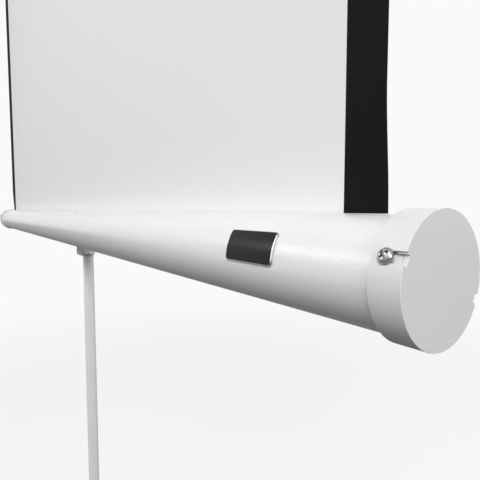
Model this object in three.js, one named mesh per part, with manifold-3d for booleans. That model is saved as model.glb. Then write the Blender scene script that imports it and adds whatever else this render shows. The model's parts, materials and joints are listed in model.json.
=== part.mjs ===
// A tripod projector screen: a white case with a spring roller, a matte sheet with black borders,
// a telescopic pole and a folding tripod. Millimetres, +Z up, the case along X, the viewer on the -Y side.
import * as THREE from 'three';
import { mergeVertices, toCreasedNormals } from 'three/addons/utils/BufferGeometryUtils.js';
import Module from 'manifold-3d';

const wasm = await Module();
wasm.setup();

// Clearances
const fit = 0.3;
const overrun = 4;
const weldDistance = 1e-4;

// Facets
const tubeSides = 20;
const caseSides = 40;
const holeSides = 10;
const wireSides = 6;
const wireSteps = 32;
const lobeSteps = 8;
const filletSteps = 2;
const creaseAngle = 0.6;

// Screen sheet
const viewingWidth = 1524;
const viewingHeight = 1524;
const borderWidth = 32.5;
const sheetThickness = 0.5;
const sheetSetback = 9.4;
const sheetToCapFace = 39.5;

// Case tube
const caseRadius = 32.7;
const caseWall = 1.2;
const caseHeight = 1070;
const slotAngle = 22;
const slotWidth = 10;
const slotLip = 5;

// Case end caps
const capWall = 2.8;
const capLength = 19.3;
const capFace = 3;
const capFillet = 1.2;
const capSlotWidth = 6.3;
const capScrewInset = 10.2;
const capScrewAngle = 22;

// Cap screws
const screwHeadRadius = 4.1;
const screwHeadHeight = 2.6;
const screwShankRadius = 2;
const screwLength = 7.4;
const recessWidth = 1.1;
const recessSpan = 4.4;
const recessDepth = 1.2;
const panRiseShares = [0.45, 0.85, 1];
const panRadiusShares = [1, 0.75, 0.4];

// Roller end brackets inside the case
const bracketRim = 3;
const bracketLength = 13;
const bracketDisc = 2.5;

// Badge plate, bare
const badgeLength = 51;
const badgeHeight = 22.5;
const badgeThickness = 1.8;
const badgeInset = 92.5;
const badgeAngle = 18;
const badgeCorner = 2.5;

// Spring roller
const rollerRadius = 11.5;
const rollerWall = 1.2;
const rollerOverhang = 2.5;
const windingThickness = 0.8;
const rollerPlugLength = 26;
const rollerPlugFlange = 2.7;
const rollerPinRadius = 3;
const rollerShoulder = 2;
const rollerPinReach = 4;
const arborLength = 372;
const springWall = 3.2;
const springGap = 1.5;
const springLength = 300;

// Top bar of the sheet
const barHeight = 16;
const barBack = 4;
const barFront = 12.4;
const barCorner = 4;
const barOverhang = 3;
const barCapThickness = 3;
const hemDepth = 5;
const hemRoom = 0.5;
const barWall = 1.3;

// Wire bail on the top bar and its bracket
const bailRadius = 1.6;
const bailLength = 60;
const bailTopWidth = 44;
const bailFootWidth = 58;
const bailBend = 6;
const bailTail = 7;
const lugThickness = 2.5;
const bailPlate = 1.5;
const bailPivotHeight = 5;
const lugRadius = 4;

// Poles
const poleRadius = 11;
const poleWall = 1.1;
const poleAboveCase = 275;
const poleTop = caseHeight + poleAboveCase;
const poleBottom = 24;
const mastRadius = 8.5;
const mastWall = 1;
const mastOverlap = 160;
const bushWall = 0.8;
const bushLength = 30;
const plugFlange = 4;
const plugStem = 8;

// Saddle, case pivot and sliding carriage
const saddleWidth = 44;
const saddleHeight = 52;
const saddleWall = 2.6;
const saddleCorner = 5;
const saddleGrip = 17;
const carriageWidth = 48;
const carriageBelow = 64;
const carriageAbove = 46;
const carriageFrontWall = 2.4;
const carriageBackWall = 2.2;
const carriageCorner = 3;
const carriageSideStraight = 10;
const pivotPocketDepth = 5.4;
const pivotRadius = 4;
const pivotFlangeRadius = 9.5;
const pivotFlangeThickness = 2.5;
const pivotNutRadius = 7.4;
const pivotNutThickness = 4;
const pivotNutInset = 1.4;
const stopPinRadius = 1.8;
const stopPinReach = 17;
const stopGrooveDepth = 2.2;
const stopPinLength = 11.5;
const stopTravel = 90;

// Clamp knobs
const carriageBossRadius = 8;
const carriageBossLength = 6;
const carriageKnobRadius = 17;
const carriageKnobLength = 16;
const carriageStudRadius = 3;
const collarBossRadius = 6;
const collarBossLength = 5;
const collarKnobRadius = 10;
const collarKnobLength = 11;
const collarStudRadius = 2.5;
const collarKnobAzimuth = 30;
const knobLobes = 6;
const knobLobeDepthShare = 0.12;
const knobNeck = 2;
const knobNeckShare = 2;

// Mast clamp with its cam lever
const clampWall = 5.2;
const clampBelow = 28;
const clampAbove = 12;
const clampSlit = 2.4;
const earThickness = 5.8;
const earReach = 30;
const earHeight = 24;
const clampBoltRadius = 2.5;
const clampBoltHead = 4.5;
const clampBoltHeadHeight = 3;
const clampBoltSetback = 6;
const camRadius = 6.5;
const leverHeight = 18;
const leverFork = 6;
const leverPinRadius = 2.3;
const leverThickness = 4;
const leverLength = 46;

// Mast head and the notched hook arm
const headWall = 2.2;
const headSkirt = 22;
const headAbovePin = 8;
const headBelowPin = 8;
const armThickness = 6;
const armTop = 4.5;
const armBottom = 3;
const armEye = 5.5;
const armPinRadius = 2.3;
const armLip = 2.3;
const notchRadius = 2.2;
const notchRise = 1.5;
const forkThickness = 3;
const hookSetback = 10.1;
const armPinToPole = 15;

// Tripod
const hubWall = 5.6;
const hubHeight = 24;
const hubPinHeight = 40;
const collarHeight = 22;
const legCount = 3;
const legSpread = 64;
const legWidth = 16;
const legDepth = 13.5;
const legWall = 1.5;
const legToHub = 0.35;
const kneeReach = 205;
const braceWall = 1.2;
const braceWebGap = 0.65;
const braceWebSetback = 8;
const pinRadius = 2.3;
const pinHeadRadius = 3.7;
const pinHeadHeight = 0.9;
const eyeRadius = 4.9;
const footPad = 4;
const footSleeve = 24;
const footToe = 22;
const footWall = 1.7;

// Sizes that follow
const turn = Math.PI / 180;
const sheetWidth = viewingWidth + 2 * borderWidth;
const caseLength = sheetWidth + 2 * sheetToCapFace;
const tubeLength = caseLength - 2 * (capFace + fit);
const tubeInner = caseRadius - caseWall;
const capInner = caseRadius + fit;
const capRadius = capInner + capWall;
const bracketRadius = tubeInner - fit;
const bracketOuterEnd = tubeLength / 2 - fit;
const bracketInnerEnd = bracketOuterEnd - bracketLength;
const rollerPinEnd = bracketInnerEnd + bracketDisc + rollerPinReach;
const windingRadius = rollerRadius + fit + windingThickness;
const rollerAxisY = sheetSetback - sheetThickness / 2 - fit - windingRadius;
const rollerLength = sheetWidth + 2 * rollerOverhang;
const sheetTop = caseRadius + viewingHeight + borderWidth;
const barLength = sheetWidth + 2 * barOverhang;
const saddleBackY = caseRadius + fit + saddleWall;
const carriageFrontY = saddleBackY + fit;
const pocketFloorY = carriageFrontY + carriageFrontWall;
const caseToPole = pocketFloorY + pivotPocketDepth + poleRadius;
const poleBore = poleRadius + fit;
const mastBore = mastRadius + fit;
const hubRadius = poleBore + hubWall;
const pinOffset = hubRadius + legToHub + legDepth / 2;
const spread = legSpread * turn;
const collarPinHeight = hubPinHeight + 2 * kneeReach * Math.cos(spread);
const braceWidth = legWidth - 2 * (legWall + 2 * fit + pinHeadHeight);
const braceDepth = legDepth - 2 * (legWall + braceWebGap);
const bailPivotZ = sheetTop + barHeight + fit + bailPlate + bailPivotHeight;
const bailPivotY = sheetSetback + barBack - lugRadius;
const hookY = sheetSetback + hookSetback;
const bailLean = Math.asin((hookY - bailPivotY) / bailLength);
const armPinZ = caseHeight + bailPivotZ + bailLength * Math.cos(bailLean) - notchRise;
const armPinY = -armPinToPole;
const mastTop = armPinZ - headBelowPin;
const mastBottom = poleTop - mastOverlap;

// Finishes
const finish = (color, roughness, metalness) =>
  new THREE.MeshStandardMaterial({ color, roughness, metalness });
const finishes = {
  casePaint: () => finish(0xececea, 0.45, 0),
  capPaint: () => finish(0xd2d3d3, 0.5, 0),
  bareBadge: () => finish(0x2b2c2e, 0.3, 0.2),
  chrome: () => finish(0xc9cacc, 0.2, 1),
  zincSteel: () => finish(0x9da1a5, 0.4, 1),
  polePaint: () => finish(0xe4e5e6, 0.4, 0.1),
  blackPlastic: () => finish(0x1d1e20, 0.55, 0),
  greyPlastic: () => finish(0xc4c6c8, 0.5, 0),
  rubber: () => finish(0x141415, 0.85, 0),
  aluminium: () => finish(0xbfc2c6, 0.35, 0.9),
  screenWhite: () => finish(0xf2f2f0, 0.9, 0),
  screenBlack: () => finish(0x191a1b, 0.9, 0),
};

// Solid from a closed three.js geometry
function solidFrom(geometry) {
  const loose = geometry.index ? geometry.toNonIndexed() : geometry.clone();
  loose.deleteAttribute('normal');
  loose.deleteAttribute('uv');
  const merged = mergeVertices(loose, weldDistance);
  return new wasm.Manifold(new wasm.Mesh({
    numProp: 3,
    vertProperties: merged.attributes.position.array,
    triVerts: new Uint32Array(merged.index.array),
  }));
}

// Geometry with crisp edges from a solid
function geometryFrom(solid) {
  const { vertProperties, triVerts } = solid.getMesh();
  const geometry = new THREE.BufferGeometry();
  geometry.setAttribute('position', new THREE.BufferAttribute(vertProperties, 3));
  geometry.setIndex(new THREE.BufferAttribute(triVerts, 1));
  return toCreasedNormals(geometry, creaseAngle);
}

function joined(...solids) {
  return solids.reduce((whole, next) => whole.add(next));
}

function cut(solid, ...tools) {
  return tools.reduce((rest, tool) => rest.subtract(tool), solid);
}

function piece(name, solid, material) {
  const mesh = new THREE.Mesh(geometryFrom(solid), material());
  mesh.name = name;
  return mesh;
}

// Frames that turn a shape drawn in X and Y, extruded along Z, into other planes
const unitX = new THREE.Vector3(1, 0, 0);
const unitY = new THREE.Vector3(0, 1, 0);
const unitZ = new THREE.Vector3(0, 0, 1);
const drawnInYZ = new THREE.Matrix4().makeBasis(unitY, unitZ, unitX);
const drawnInXZ = new THREE.Matrix4().makeBasis(unitX, unitZ, unitY.clone().negate());

function extruded(shape, from, to, curveSegments = tubeSides / 4) {
  const options = { depth: to - from, bevelEnabled: false, curveSegments };
  return new THREE.ExtrudeGeometry(shape, options).translate(0, 0, from);
}

// Prism whose outline is drawn in Y and Z, running along X from one place to another
function prismX(shape, from, to, curveSegments) {
  return solidFrom(extruded(shape, from, to, curveSegments).applyMatrix4(drawnInYZ));
}

// Prism whose outline is drawn in X and Z, running along Y
function prismY(shape, from, to, curveSegments) {
  return solidFrom(extruded(shape, -to, -from, curveSegments).applyMatrix4(drawnInXZ));
}

function prismZ(shape, from, to, curveSegments) {
  return solidFrom(extruded(shape, from, to, curveSegments));
}

function block(low, high) {
  const size = high.map((value, i) => value - low[i]);
  const centre = high.map((value, i) => (value + low[i]) / 2);
  return solidFrom(new THREE.BoxGeometry(...size).translate(...centre));
}

// Round bar along an axis, from one place to another, about a centre given by its other two coordinates
function bar(axis, radius, from, to, centre = [0, 0], sides = holeSides) {
  const geometry = new THREE.CylinderGeometry(radius, radius, to - from, sides);
  geometry.translate(0, (from + to) / 2, 0);
  if (axis === 'x') geometry.rotateZ(-Math.PI / 2).translate(0, ...centre);
  if (axis === 'y') geometry.translate(centre[0], 0, centre[1]);
  if (axis === 'z') geometry.rotateX(Math.PI / 2).translate(...centre, 0);
  return solidFrom(geometry);
}

function tube(axis, outer, inner, from, to, centre, sides = tubeSides) {
  const core = bar(axis, outer, from, to, centre, sides);
  return cut(core, bar(axis, inner, from - overrun, to + overrun, centre, sides));
}

// Revolved solid about the X axis, from a list of [along X, radius] points that starts and ends on the axis
function turnedX(points, sides = tubeSides) {
  const profile = points.map(([along, radius]) => new THREE.Vector2(radius, along));
  return solidFrom(new THREE.LatheGeometry(profile, sides).rotateZ(-Math.PI / 2));
}

function turnedY(points, sides = tubeSides) {
  const profile = points.map(([along, radius]) => new THREE.Vector2(radius, along));
  return solidFrom(new THREE.LatheGeometry(profile, sides));
}

// Quarter round between two directions, as [along, across] points about a centre
function filletPoints(centreAlong, centreAcross, radius, startAngle, endAngle) {
  return Array.from({ length: filletSteps + 1 }, (_, i) => {
    const angle = startAngle + ((endAngle - startAngle) * i) / filletSteps;
    return [centreAlong + radius * Math.cos(angle), centreAcross + radius * Math.sin(angle)];
  });
}

function roundedRectangle(left, right, low, high, corner) {
  const shape = new THREE.Shape();
  shape.moveTo(left + corner, low);
  shape.lineTo(right - corner, low);
  shape.absarc(right - corner, low + corner, corner, -Math.PI / 2, 0);
  shape.lineTo(right, high - corner);
  shape.absarc(right - corner, high - corner, corner, 0, Math.PI / 2);
  shape.lineTo(left + corner, high);
  shape.absarc(left + corner, high - corner, corner, Math.PI / 2, Math.PI);
  shape.lineTo(left, low + corner);
  shape.absarc(left + corner, low + corner, corner, Math.PI, 1.5 * Math.PI);
  return shape;
}

// Bar outline with round ends about two centres on the second axis of the drawing
function capsule(radius, lowCentre, highCentre) {
  const shape = new THREE.Shape();
  shape.absarc(0, lowCentre, radius, Math.PI, 2 * Math.PI);
  shape.absarc(0, highCentre, radius, 0, Math.PI);
  shape.closePath();
  return shape;
}

// Star knob outline: a circle whose radius dips between its lobes
function lobedOutline(radius) {
  const steps = knobLobes * lobeSteps;
  const points = Array.from({ length: steps }, (_, i) => {
    const angle = (2 * Math.PI * i) / steps;
    const dip = (knobLobeDepthShare / 2) * (1 - Math.cos(knobLobes * angle));
    const reach = radius * (1 - dip);
    return new THREE.Vector2(reach * Math.cos(angle), reach * Math.sin(angle));
  });
  return new THREE.Shape(points);
}

// Clamp knob on a stud, its axis along +Y and its stud tip at the origin
function clampKnob(headRadius, headLength, studRadius, studLength) {
  const neckRadius = studRadius * knobNeckShare;
  const headStart = studLength + knobNeck;
  return joined(
    bar('y', studRadius, 0, headStart + knobNeck),
    bar('y', neckRadius, studLength, headStart + knobNeck),
    prismY(lobedOutline(headRadius), headStart, headStart + headLength),
  );
}

// Case tube: a C section with its lips turned in at the sheet slot
function caseTubeSection() {
  const centre = Math.PI / 2 - slotAngle * turn;
  const half = Math.asin(slotWidth / 2 / caseRadius);
  const inward = new THREE.Vector2(-Math.cos(centre), -Math.sin(centre));
  const along = new THREE.Vector2(-Math.sin(centre), Math.cos(centre));
  const lipAt = (across, depth) => {
    const rim = Math.sqrt(caseRadius ** 2 - across ** 2) - depth;
    return along.clone().multiplyScalar(across).addScaledVector(inward, -rim);
  };
  const innerHalf = Math.asin((slotWidth / 2 + caseWall) / tubeInner);
  const lipDepth = caseWall + slotLip;
  const shape = new THREE.Shape();
  shape.absarc(0, 0, caseRadius, centre + half, centre - half + 2 * Math.PI, false);
  const sides = [-1, 1];
  const lips = sides.map((side) => [
    lipAt((side * slotWidth) / 2, lipDepth),
    lipAt(side * (slotWidth / 2 + caseWall), lipDepth),
  ]);
  shape.lineTo(lips[0][0].x, lips[0][0].y);
  shape.lineTo(lips[0][1].x, lips[0][1].y);
  shape.absarc(0, 0, tubeInner, centre - innerHalf + 2 * Math.PI, centre + innerHalf, true);
  shape.lineTo(lips[1][1].x, lips[1][1].y);
  shape.lineTo(lips[1][0].x, lips[1][0].y);
  return shape;
}

// Direction from the case axis to the front cap screw, as an angle in the Y and Z plane
const frontScrewDirection = Math.PI - capScrewAngle * turn;

function screwHoles(radius, fromRadius, toRadius, alongX) {
  return [0, Math.PI].map((half) => {
    const hole = new THREE.CylinderGeometry(radius, radius, toRadius - fromRadius, holeSides);
    hole.translate(0, (fromRadius + toRadius) / 2, 0);
    hole.rotateX(frontScrewDirection + half).translate(alongX, 0, 0);
    return solidFrom(hole);
  });
}

function caseTube() {
  const half = tubeLength / 2;
  const holeX = caseLength / 2 - capScrewInset;
  const holeRadius = screwShankRadius + fit;
  const boltHole = bar('y', pivotRadius + fit, 0, caseRadius + overrun);
  return cut(
    prismX(caseTubeSection(), -half, half, caseSides),
    ...screwHoles(holeRadius, tubeInner - overrun, caseRadius + overrun, holeX),
    ...screwHoles(holeRadius, tubeInner - overrun, caseRadius + overrun, -holeX),
    boltHole,
  );
}

// Cap with a closed face and two open slots in its sleeve; x is measured outward from the case centre
function endCap() {
  const face = caseLength / 2;
  const inner = face - capLength;
  const profile = [
    [face - capFace, 0],
    [face - capFace, capInner],
    [inner, capInner],
    [inner, capRadius],
    ...filletPoints(face - capFillet, capRadius - capFillet, capFillet, Math.PI / 2, 0),
    [face, 0],
  ];
  const screwX = face - capScrewInset;
  const slots = [0, Math.PI].map((half) => {
    const outline = new THREE.Shape();
    outline.absarc(screwX, 0, capSlotWidth / 2, Math.PI / 2, 1.5 * Math.PI);
    outline.lineTo(face + overrun, -capSlotWidth / 2);
    outline.lineTo(face + overrun, capSlotWidth / 2);
    const slot = extruded(outline, caseRadius, capRadius + overrun, holeSides / 2);
    slot.rotateX(frontScrewDirection - Math.PI / 2 + half);
    return solidFrom(slot);
  });
  return cut(turnedX(profile, caseSides), ...slots);
}

// Pan head screw with a cross recess, its axis along +Y and its head seat at the origin
function panHeadScrew() {
  const head = [
    [-screwLength, 0],
    [-screwLength, screwShankRadius],
    [0, screwShankRadius],
    [0, screwHeadRadius],
    ...panRiseShares.map((share, i) => [
      screwHeadHeight * share, screwHeadRadius * panRadiusShares[i],
    ]),
    [screwHeadHeight, 0],
  ];
  const floor = screwHeadHeight - recessDepth;
  const top = screwHeadHeight + overrun;
  return cut(
    turnedY(head, holeSides),
    block([-recessSpan / 2, floor, -recessWidth / 2], [recessSpan / 2, top, recessWidth / 2]),
    block([-recessWidth / 2, floor, -recessSpan / 2], [recessWidth / 2, top, recessSpan / 2]),
  );
}

// Cup inside the tube end that takes the cap screws and the roller pin
function rollerBracket() {
  const profile = [
    [bracketInnerEnd, 0],
    [bracketInnerEnd, bracketRadius],
    [bracketOuterEnd, bracketRadius],
    [bracketOuterEnd, bracketRadius - bracketRim],
    [bracketInnerEnd + bracketDisc, bracketRadius - bracketRim],
    [bracketInnerEnd + bracketDisc, 0],
  ];
  const halfNotch = slotWidth / 2 + caseWall + fit;
  const notchFloor = tubeInner - slotLip - 2 * fit;
  const notch = new THREE.BoxGeometry(bracketLength + 2 * overrun, bracketRadius, 2 * halfNotch);
  notch.translate((bracketInnerEnd + bracketOuterEnd) / 2, notchFloor + bracketRadius / 2, 0);
  notch.rotateX(Math.PI / 2 - slotAngle * turn);
  const screwX = caseLength / 2 - capScrewInset;
  const pinHoleEnd = bracketInnerEnd + bracketDisc + overrun;
  return cut(
    turnedX(profile, caseSides),
    solidFrom(notch),
    bar('x', rollerPinRadius + fit, bracketInnerEnd - overrun, pinHoleEnd, [rollerAxisY, 0]),
    ...screwHoles(screwShankRadius + fit, 0, caseRadius, screwX),
  );
}

function badgePlate() {
  const inner = caseRadius + fit;
  const skin = tube('x', inner + badgeThickness, inner, 0, badgeLength, [0, 0], 2 * caseSides);
  const outline = roundedRectangle(0, badgeLength, -badgeHeight / 2, badgeHeight / 2, badgeCorner);
  return skin.intersect(prismY(outline, -2 * caseRadius, 0));
}

// Saddle that carries the case on the pivot, with the groove that limits its turn
function saddle() {
  const plate = roundedRectangle(
    -saddleWidth / 2, saddleWidth / 2, -saddleHeight / 2, saddleHeight / 2, saddleCorner,
  );
  const middle = Math.PI / 2;
  const halfTravel = (stopTravel / 2) * turn + stopPinRadius / stopPinReach;
  const halfGroove = stopPinRadius + fit;
  const groove = new THREE.Shape();
  groove.absarc(0, 0, stopPinReach + halfGroove, middle - halfTravel, middle + halfTravel, false);
  groove.absarc(0, 0, stopPinReach - halfGroove, middle + halfTravel, middle - halfTravel, true);
  const sockets = [-1, 1].map((side) => {
    const angle = middle + side * halfTravel;
    const centre = [stopPinReach * Math.cos(angle), stopPinReach * Math.sin(angle)];
    return bar('y', halfGroove, saddleBackY - stopGrooveDepth, saddleBackY + overrun, centre);
  });
  return cut(
    prismY(plate, saddleGrip, saddleBackY),
    bar('x', caseRadius + fit, -saddleWidth, saddleWidth, [0, 0], caseSides),
    prismY(groove, saddleBackY - stopGrooveDepth, saddleBackY + overrun, tubeSides / 2),
    ...sockets,
    bar('y', pivotRadius + fit, 0, saddleBackY + overrun),
  );
}

function pivotBolt() {
  const flangeStart = pocketFloorY + fit;
  const tip = tubeInner - pivotNutInset - pivotNutThickness - fit;
  return turnedY([
    [tip, 0],
    [tip, pivotRadius],
    [flangeStart, pivotRadius],
    [flangeStart, pivotFlangeRadius],
    [flangeStart + pivotFlangeThickness, pivotFlangeRadius],
    [flangeStart + pivotFlangeThickness, 0],
  ], tubeSides);
}

function pivotNut() {
  const high = tubeInner - pivotNutInset;
  const low = high - pivotNutThickness;
  return cut(
    bar('y', pivotNutRadius, low, high, [0, 0], 6),
    bar('y', pivotRadius + fit, low - overrun, high + overrun),
  );
}

// Stop pin in the carriage, at the start of the groove
const stopPinAngle = Math.PI / 2 - (stopTravel / 2) * turn;
const stopPinCentre = [stopPinReach * Math.cos(stopPinAngle), stopPinReach * Math.sin(stopPinAngle)];
const stopPinTip = saddleBackY - stopGrooveDepth + fit;

function stopPin() {
  return bar('y', stopPinRadius, stopPinTip, stopPinTip + stopPinLength, stopPinCentre);
}

// Carriage round the pole; drawn in the case frame, with the pole axis at caseToPole behind the case
function carriage() {
  const half = carriageWidth / 2;
  const straightY = carriageFrontY + carriageSideStraight;
  const backY = caseToPole + poleBore + carriageBackWall;
  const rise = backY - straightY;
  const backRadius = (half ** 2 + rise ** 2) / (2 * rise);
  const backCentreY = backY - backRadius;
  const endAngle = Math.atan2(straightY - backCentreY, half);
  const outline = new THREE.Shape();
  outline.moveTo(-half + carriageCorner, carriageFrontY);
  outline.lineTo(half - carriageCorner, carriageFrontY);
  const cornerY = carriageFrontY + carriageCorner;
  outline.absarc(half - carriageCorner, cornerY, carriageCorner, -Math.PI / 2, 0);
  outline.lineTo(half, straightY);
  outline.absarc(0, backCentreY, backRadius, endAngle, Math.PI - endAngle, false);
  outline.lineTo(-half, cornerY);
  outline.absarc(-half + carriageCorner, cornerY, carriageCorner, Math.PI, 1.5 * Math.PI);
  const bossEnd = backY + carriageBossLength;
  const body = joined(
    prismZ(outline, -carriageBelow, carriageAbove, tubeSides / 2),
    bar('y', carriageBossRadius, caseToPole + poleBore, bossEnd, [0, 0], tubeSides),
  );
  const poleAxis = [0, caseToPole];
  const pinHoleEnd = stopPinTip + stopPinLength + fit;
  return cut(
    body,
    bar('z', poleBore, -carriageBelow - overrun, carriageAbove + overrun, poleAxis, tubeSides),
    bar('y', pivotFlangeRadius + fit, pocketFloorY, caseToPole, [0, 0], tubeSides),
    bar('y', pivotRadius + fit, 0, caseToPole),
    bar('y', stopPinRadius + fit, 0, pinHoleEnd, stopPinCentre),
    bar('y', carriageStudRadius + fit, caseToPole, bossEnd + overrun),
  );
}

// Roller parts, about the roller axis
function rollerPlug(flangeStart) {
  const bore = rollerRadius - rollerWall - fit;
  return [
    [flangeStart - rollerPlugLength, 0],
    [flangeStart - rollerPlugLength, bore],
    [flangeStart, bore],
    [flangeStart, rollerRadius],
    [flangeStart + rollerPlugFlange, rollerRadius],
  ];
}

function idlerPlug() {
  const start = rollerLength / 2 + fit;
  const shoulderEnd = bracketInnerEnd - fit;
  return turnedX([
    ...rollerPlug(start),
    [start + rollerPlugFlange, rollerPinRadius + rollerShoulder],
    [shoulderEnd, rollerPinRadius + rollerShoulder],
    [shoulderEnd, rollerPinRadius],
    [rollerPinEnd, rollerPinRadius],
    [rollerPinEnd, 0],
  ]);
}

function springPlug() {
  const start = rollerLength / 2 + fit;
  const body = turnedX([...rollerPlug(start), [start + rollerPlugFlange, 0]]);
  return cut(body, bar('x', rollerPinRadius + fit, 0, caseLength / 2));
}

function springArbor() {
  const shoulder = bracketInnerEnd - fit;
  return joined(
    bar('x', rollerPinRadius, rollerPinEnd - arborLength, rollerPinEnd),
    bar('x', rollerPinRadius + rollerShoulder, shoulder - rollerPlugFlange, shoulder),
  );
}

function rollerSpring() {
  const outer = rollerPinRadius + springGap + springWall;
  const end = rollerLength / 2 - rollerPlugLength - fit;
  return tube('x', outer, rollerPinRadius + springGap, end - springLength, end);
}

// Sheet: the white field and the black border round its sides and top
function whiteField() {
  const low = [-viewingWidth / 2, sheetSetback - sheetThickness / 2, 0];
  const high = [viewingWidth / 2, sheetSetback + sheetThickness / 2, sheetTop - borderWidth];
  return block(low, high);
}

function blackBorder() {
  const half = sheetWidth / 2;
  const fieldHalf = viewingWidth / 2 + fit;
  const fieldTop = sheetTop - borderWidth + fit;
  const shape = new THREE.Shape([
    new THREE.Vector2(-half, 0),
    new THREE.Vector2(-fieldHalf, 0),
    new THREE.Vector2(-fieldHalf, fieldTop),
    new THREE.Vector2(fieldHalf, fieldTop),
    new THREE.Vector2(fieldHalf, 0),
    new THREE.Vector2(half, 0),
    new THREE.Vector2(half, sheetTop + hemDepth),
    new THREE.Vector2(-half, sheetTop + hemDepth),
  ]);
  return prismY(shape, sheetSetback - sheetThickness / 2, sheetSetback + sheetThickness / 2);
}

function barSection(inset) {
  const front = sheetSetback - barFront + inset;
  const back = sheetSetback + barBack - inset;
  const low = sheetTop + inset;
  const high = sheetTop + barHeight - inset;
  const shape = new THREE.Shape();
  shape.moveTo(back, low);
  shape.lineTo(back, high);
  shape.lineTo(front + barCorner, high);
  shape.absarc(front + barCorner, high - barCorner, barCorner, Math.PI / 2, Math.PI);
  shape.absarc(front + barCorner, low + barCorner, barCorner, Math.PI, 1.5 * Math.PI);
  shape.closePath();
  return shape;
}

// Hollow bar with a groove for the hem of the sheet; the chamber goes round the walls of the groove
function topBar() {
  const halfGroove = sheetThickness / 2 + hemRoom;
  const grooveTop = sheetTop + hemDepth + hemRoom;
  const groove = block(
    [-barLength, sheetSetback - halfGroove, sheetTop - overrun],
    [barLength, sheetSetback + halfGroove, grooveTop],
  );
  const grooveWalls = block(
    [-barLength, sheetSetback - halfGroove - barWall, sheetTop],
    [barLength, sheetSetback + barBack, grooveTop + barWall],
  );
  const chamber = cut(prismX(barSection(barWall), -barLength, barLength), grooveWalls);
  return cut(prismX(barSection(0), -barLength / 2, barLength / 2), groove, chamber);
}

function barCap() {
  const start = barLength / 2 + fit;
  return prismX(barSection(0), start, start + barCapThickness);
}

// Bail bracket: a plate on the bar with two lugs
const lugCentre = bailFootWidth / 2 + lugThickness;

function bailBracket() {
  const plateLow = sheetTop + barHeight + fit;
  const halfPlate = lugCentre + lugThickness;
  const back = sheetSetback + barBack;
  const plateFront = sheetSetback - barFront + 2 * barCorner;
  const plate = block([-halfPlate, plateFront, plateLow], [halfPlate, back, plateLow + bailPlate]);
  const lugs = [-1, 1].map((side) => {
    const outline = new THREE.Shape();
    outline.moveTo(bailPivotY - lugRadius, plateLow);
    outline.lineTo(bailPivotY + lugRadius, plateLow);
    outline.absarc(bailPivotY, bailPivotZ, lugRadius, 0, Math.PI);
    const centre = side * lugCentre;
    return prismX(outline, centre - lugThickness / 2, centre + lugThickness / 2);
  });
  const holeEnd = halfPlate + overrun;
  const holes = bar('x', bailRadius + fit, -holeEnd, holeEnd, [bailPivotY, bailPivotZ]);
  return cut(joined(plate, ...lugs), holes);
}

// Wire bail about its pivot: tails through the lugs, legs, and the top wire that hangs on the hook
function bailWire() {
  const footHalf = bailFootWidth / 2;
  const tail = lugCentre + bailTail / 2;
  const topHalf = bailTopWidth / 2;
  const corner = (fromX, fromZ, x, z, toX, toZ) => new THREE.QuadraticBezierCurve3(
    new THREE.Vector3(fromX, 0, fromZ), new THREE.Vector3(x, 0, z), new THREE.Vector3(toX, 0, toZ),
  );
  const line = (fromX, fromZ, toX, toZ) => new THREE.LineCurve3(
    new THREE.Vector3(fromX, 0, fromZ), new THREE.Vector3(toX, 0, toZ),
  );
  const footX = footHalf - bailBend;
  const legSlope = (footX - topHalf) / bailLength;
  const lowX = footX - legSlope * bailBend;
  const highX = topHalf + legSlope * bailBend;
  const path = new THREE.CurvePath();
  const half = (side) => [
    line(side * tail, 0, side * (footX + bailBend), 0),
    corner(side * (footX + bailBend), 0, side * footX, 0, side * lowX, bailBend),
    line(side * lowX, bailBend, side * highX, bailLength - bailBend),
    corner(side * highX, bailLength - bailBend, side * topHalf, bailLength,
      side * (topHalf - bailBend), bailLength),
  ];
  const there = half(-1);
  const back = half(1).reverse().map((curve) => {
    const ends = curve.isLineCurve3 ? [curve.v2, curve.v1] : [curve.v2, curve.v1, curve.v0];
    return curve.isLineCurve3
      ? new THREE.LineCurve3(...ends)
      : new THREE.QuadraticBezierCurve3(...ends);
  });
  there.forEach((curve) => path.add(curve));
  path.add(line(bailBend - topHalf, bailLength, topHalf - bailBend, bailLength));
  back.forEach((curve) => path.add(curve));
  const section = new THREE.Shape(Array.from({ length: wireSides }, (_, i) => {
    const angle = (2 * Math.PI * (i + 0.5)) / wireSides;
    return new THREE.Vector2(bailRadius * Math.cos(angle), bailRadius * Math.sin(angle));
  }));
  const options = { steps: wireSteps, bevelEnabled: false, extrudePath: path };
  return solidFrom(new THREE.ExtrudeGeometry(section, options));
}

// Pole parts, about the pole axis
function outerPole() {
  return tube('z', poleRadius, poleRadius - poleWall, poleBottom, poleTop);
}

function polePlug() {
  return joined(
    bar('z', poleRadius, poleBottom - fit - plugFlange, poleBottom - fit, [0, 0], tubeSides),
    bar('z', poleRadius - poleWall - fit, poleBottom - plugFlange, poleBottom + plugStem),
  );
}

function mast() {
  return tube('z', mastRadius, mastRadius - mastWall, mastBottom, mastTop);
}

function mastBush() {
  const inner = mastRadius + fit;
  return tube('z', inner + bushWall, inner, mastBottom, mastBottom + bushLength);
}

// Split clamp on the pole top
const clampRadius = poleBore + clampWall;
const clampTop = poleTop + clampAbove;
const earTopZ = clampTop;
const earBottomZ = earTopZ - earHeight;
const earHalf = clampSlit / 2 + earThickness;
const clampBoltY = earReach - clampBoltSetback;
const clampBoltZ = (earTopZ + earBottomZ) / 2;
const camX = earHalf + fit + camRadius;

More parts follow.
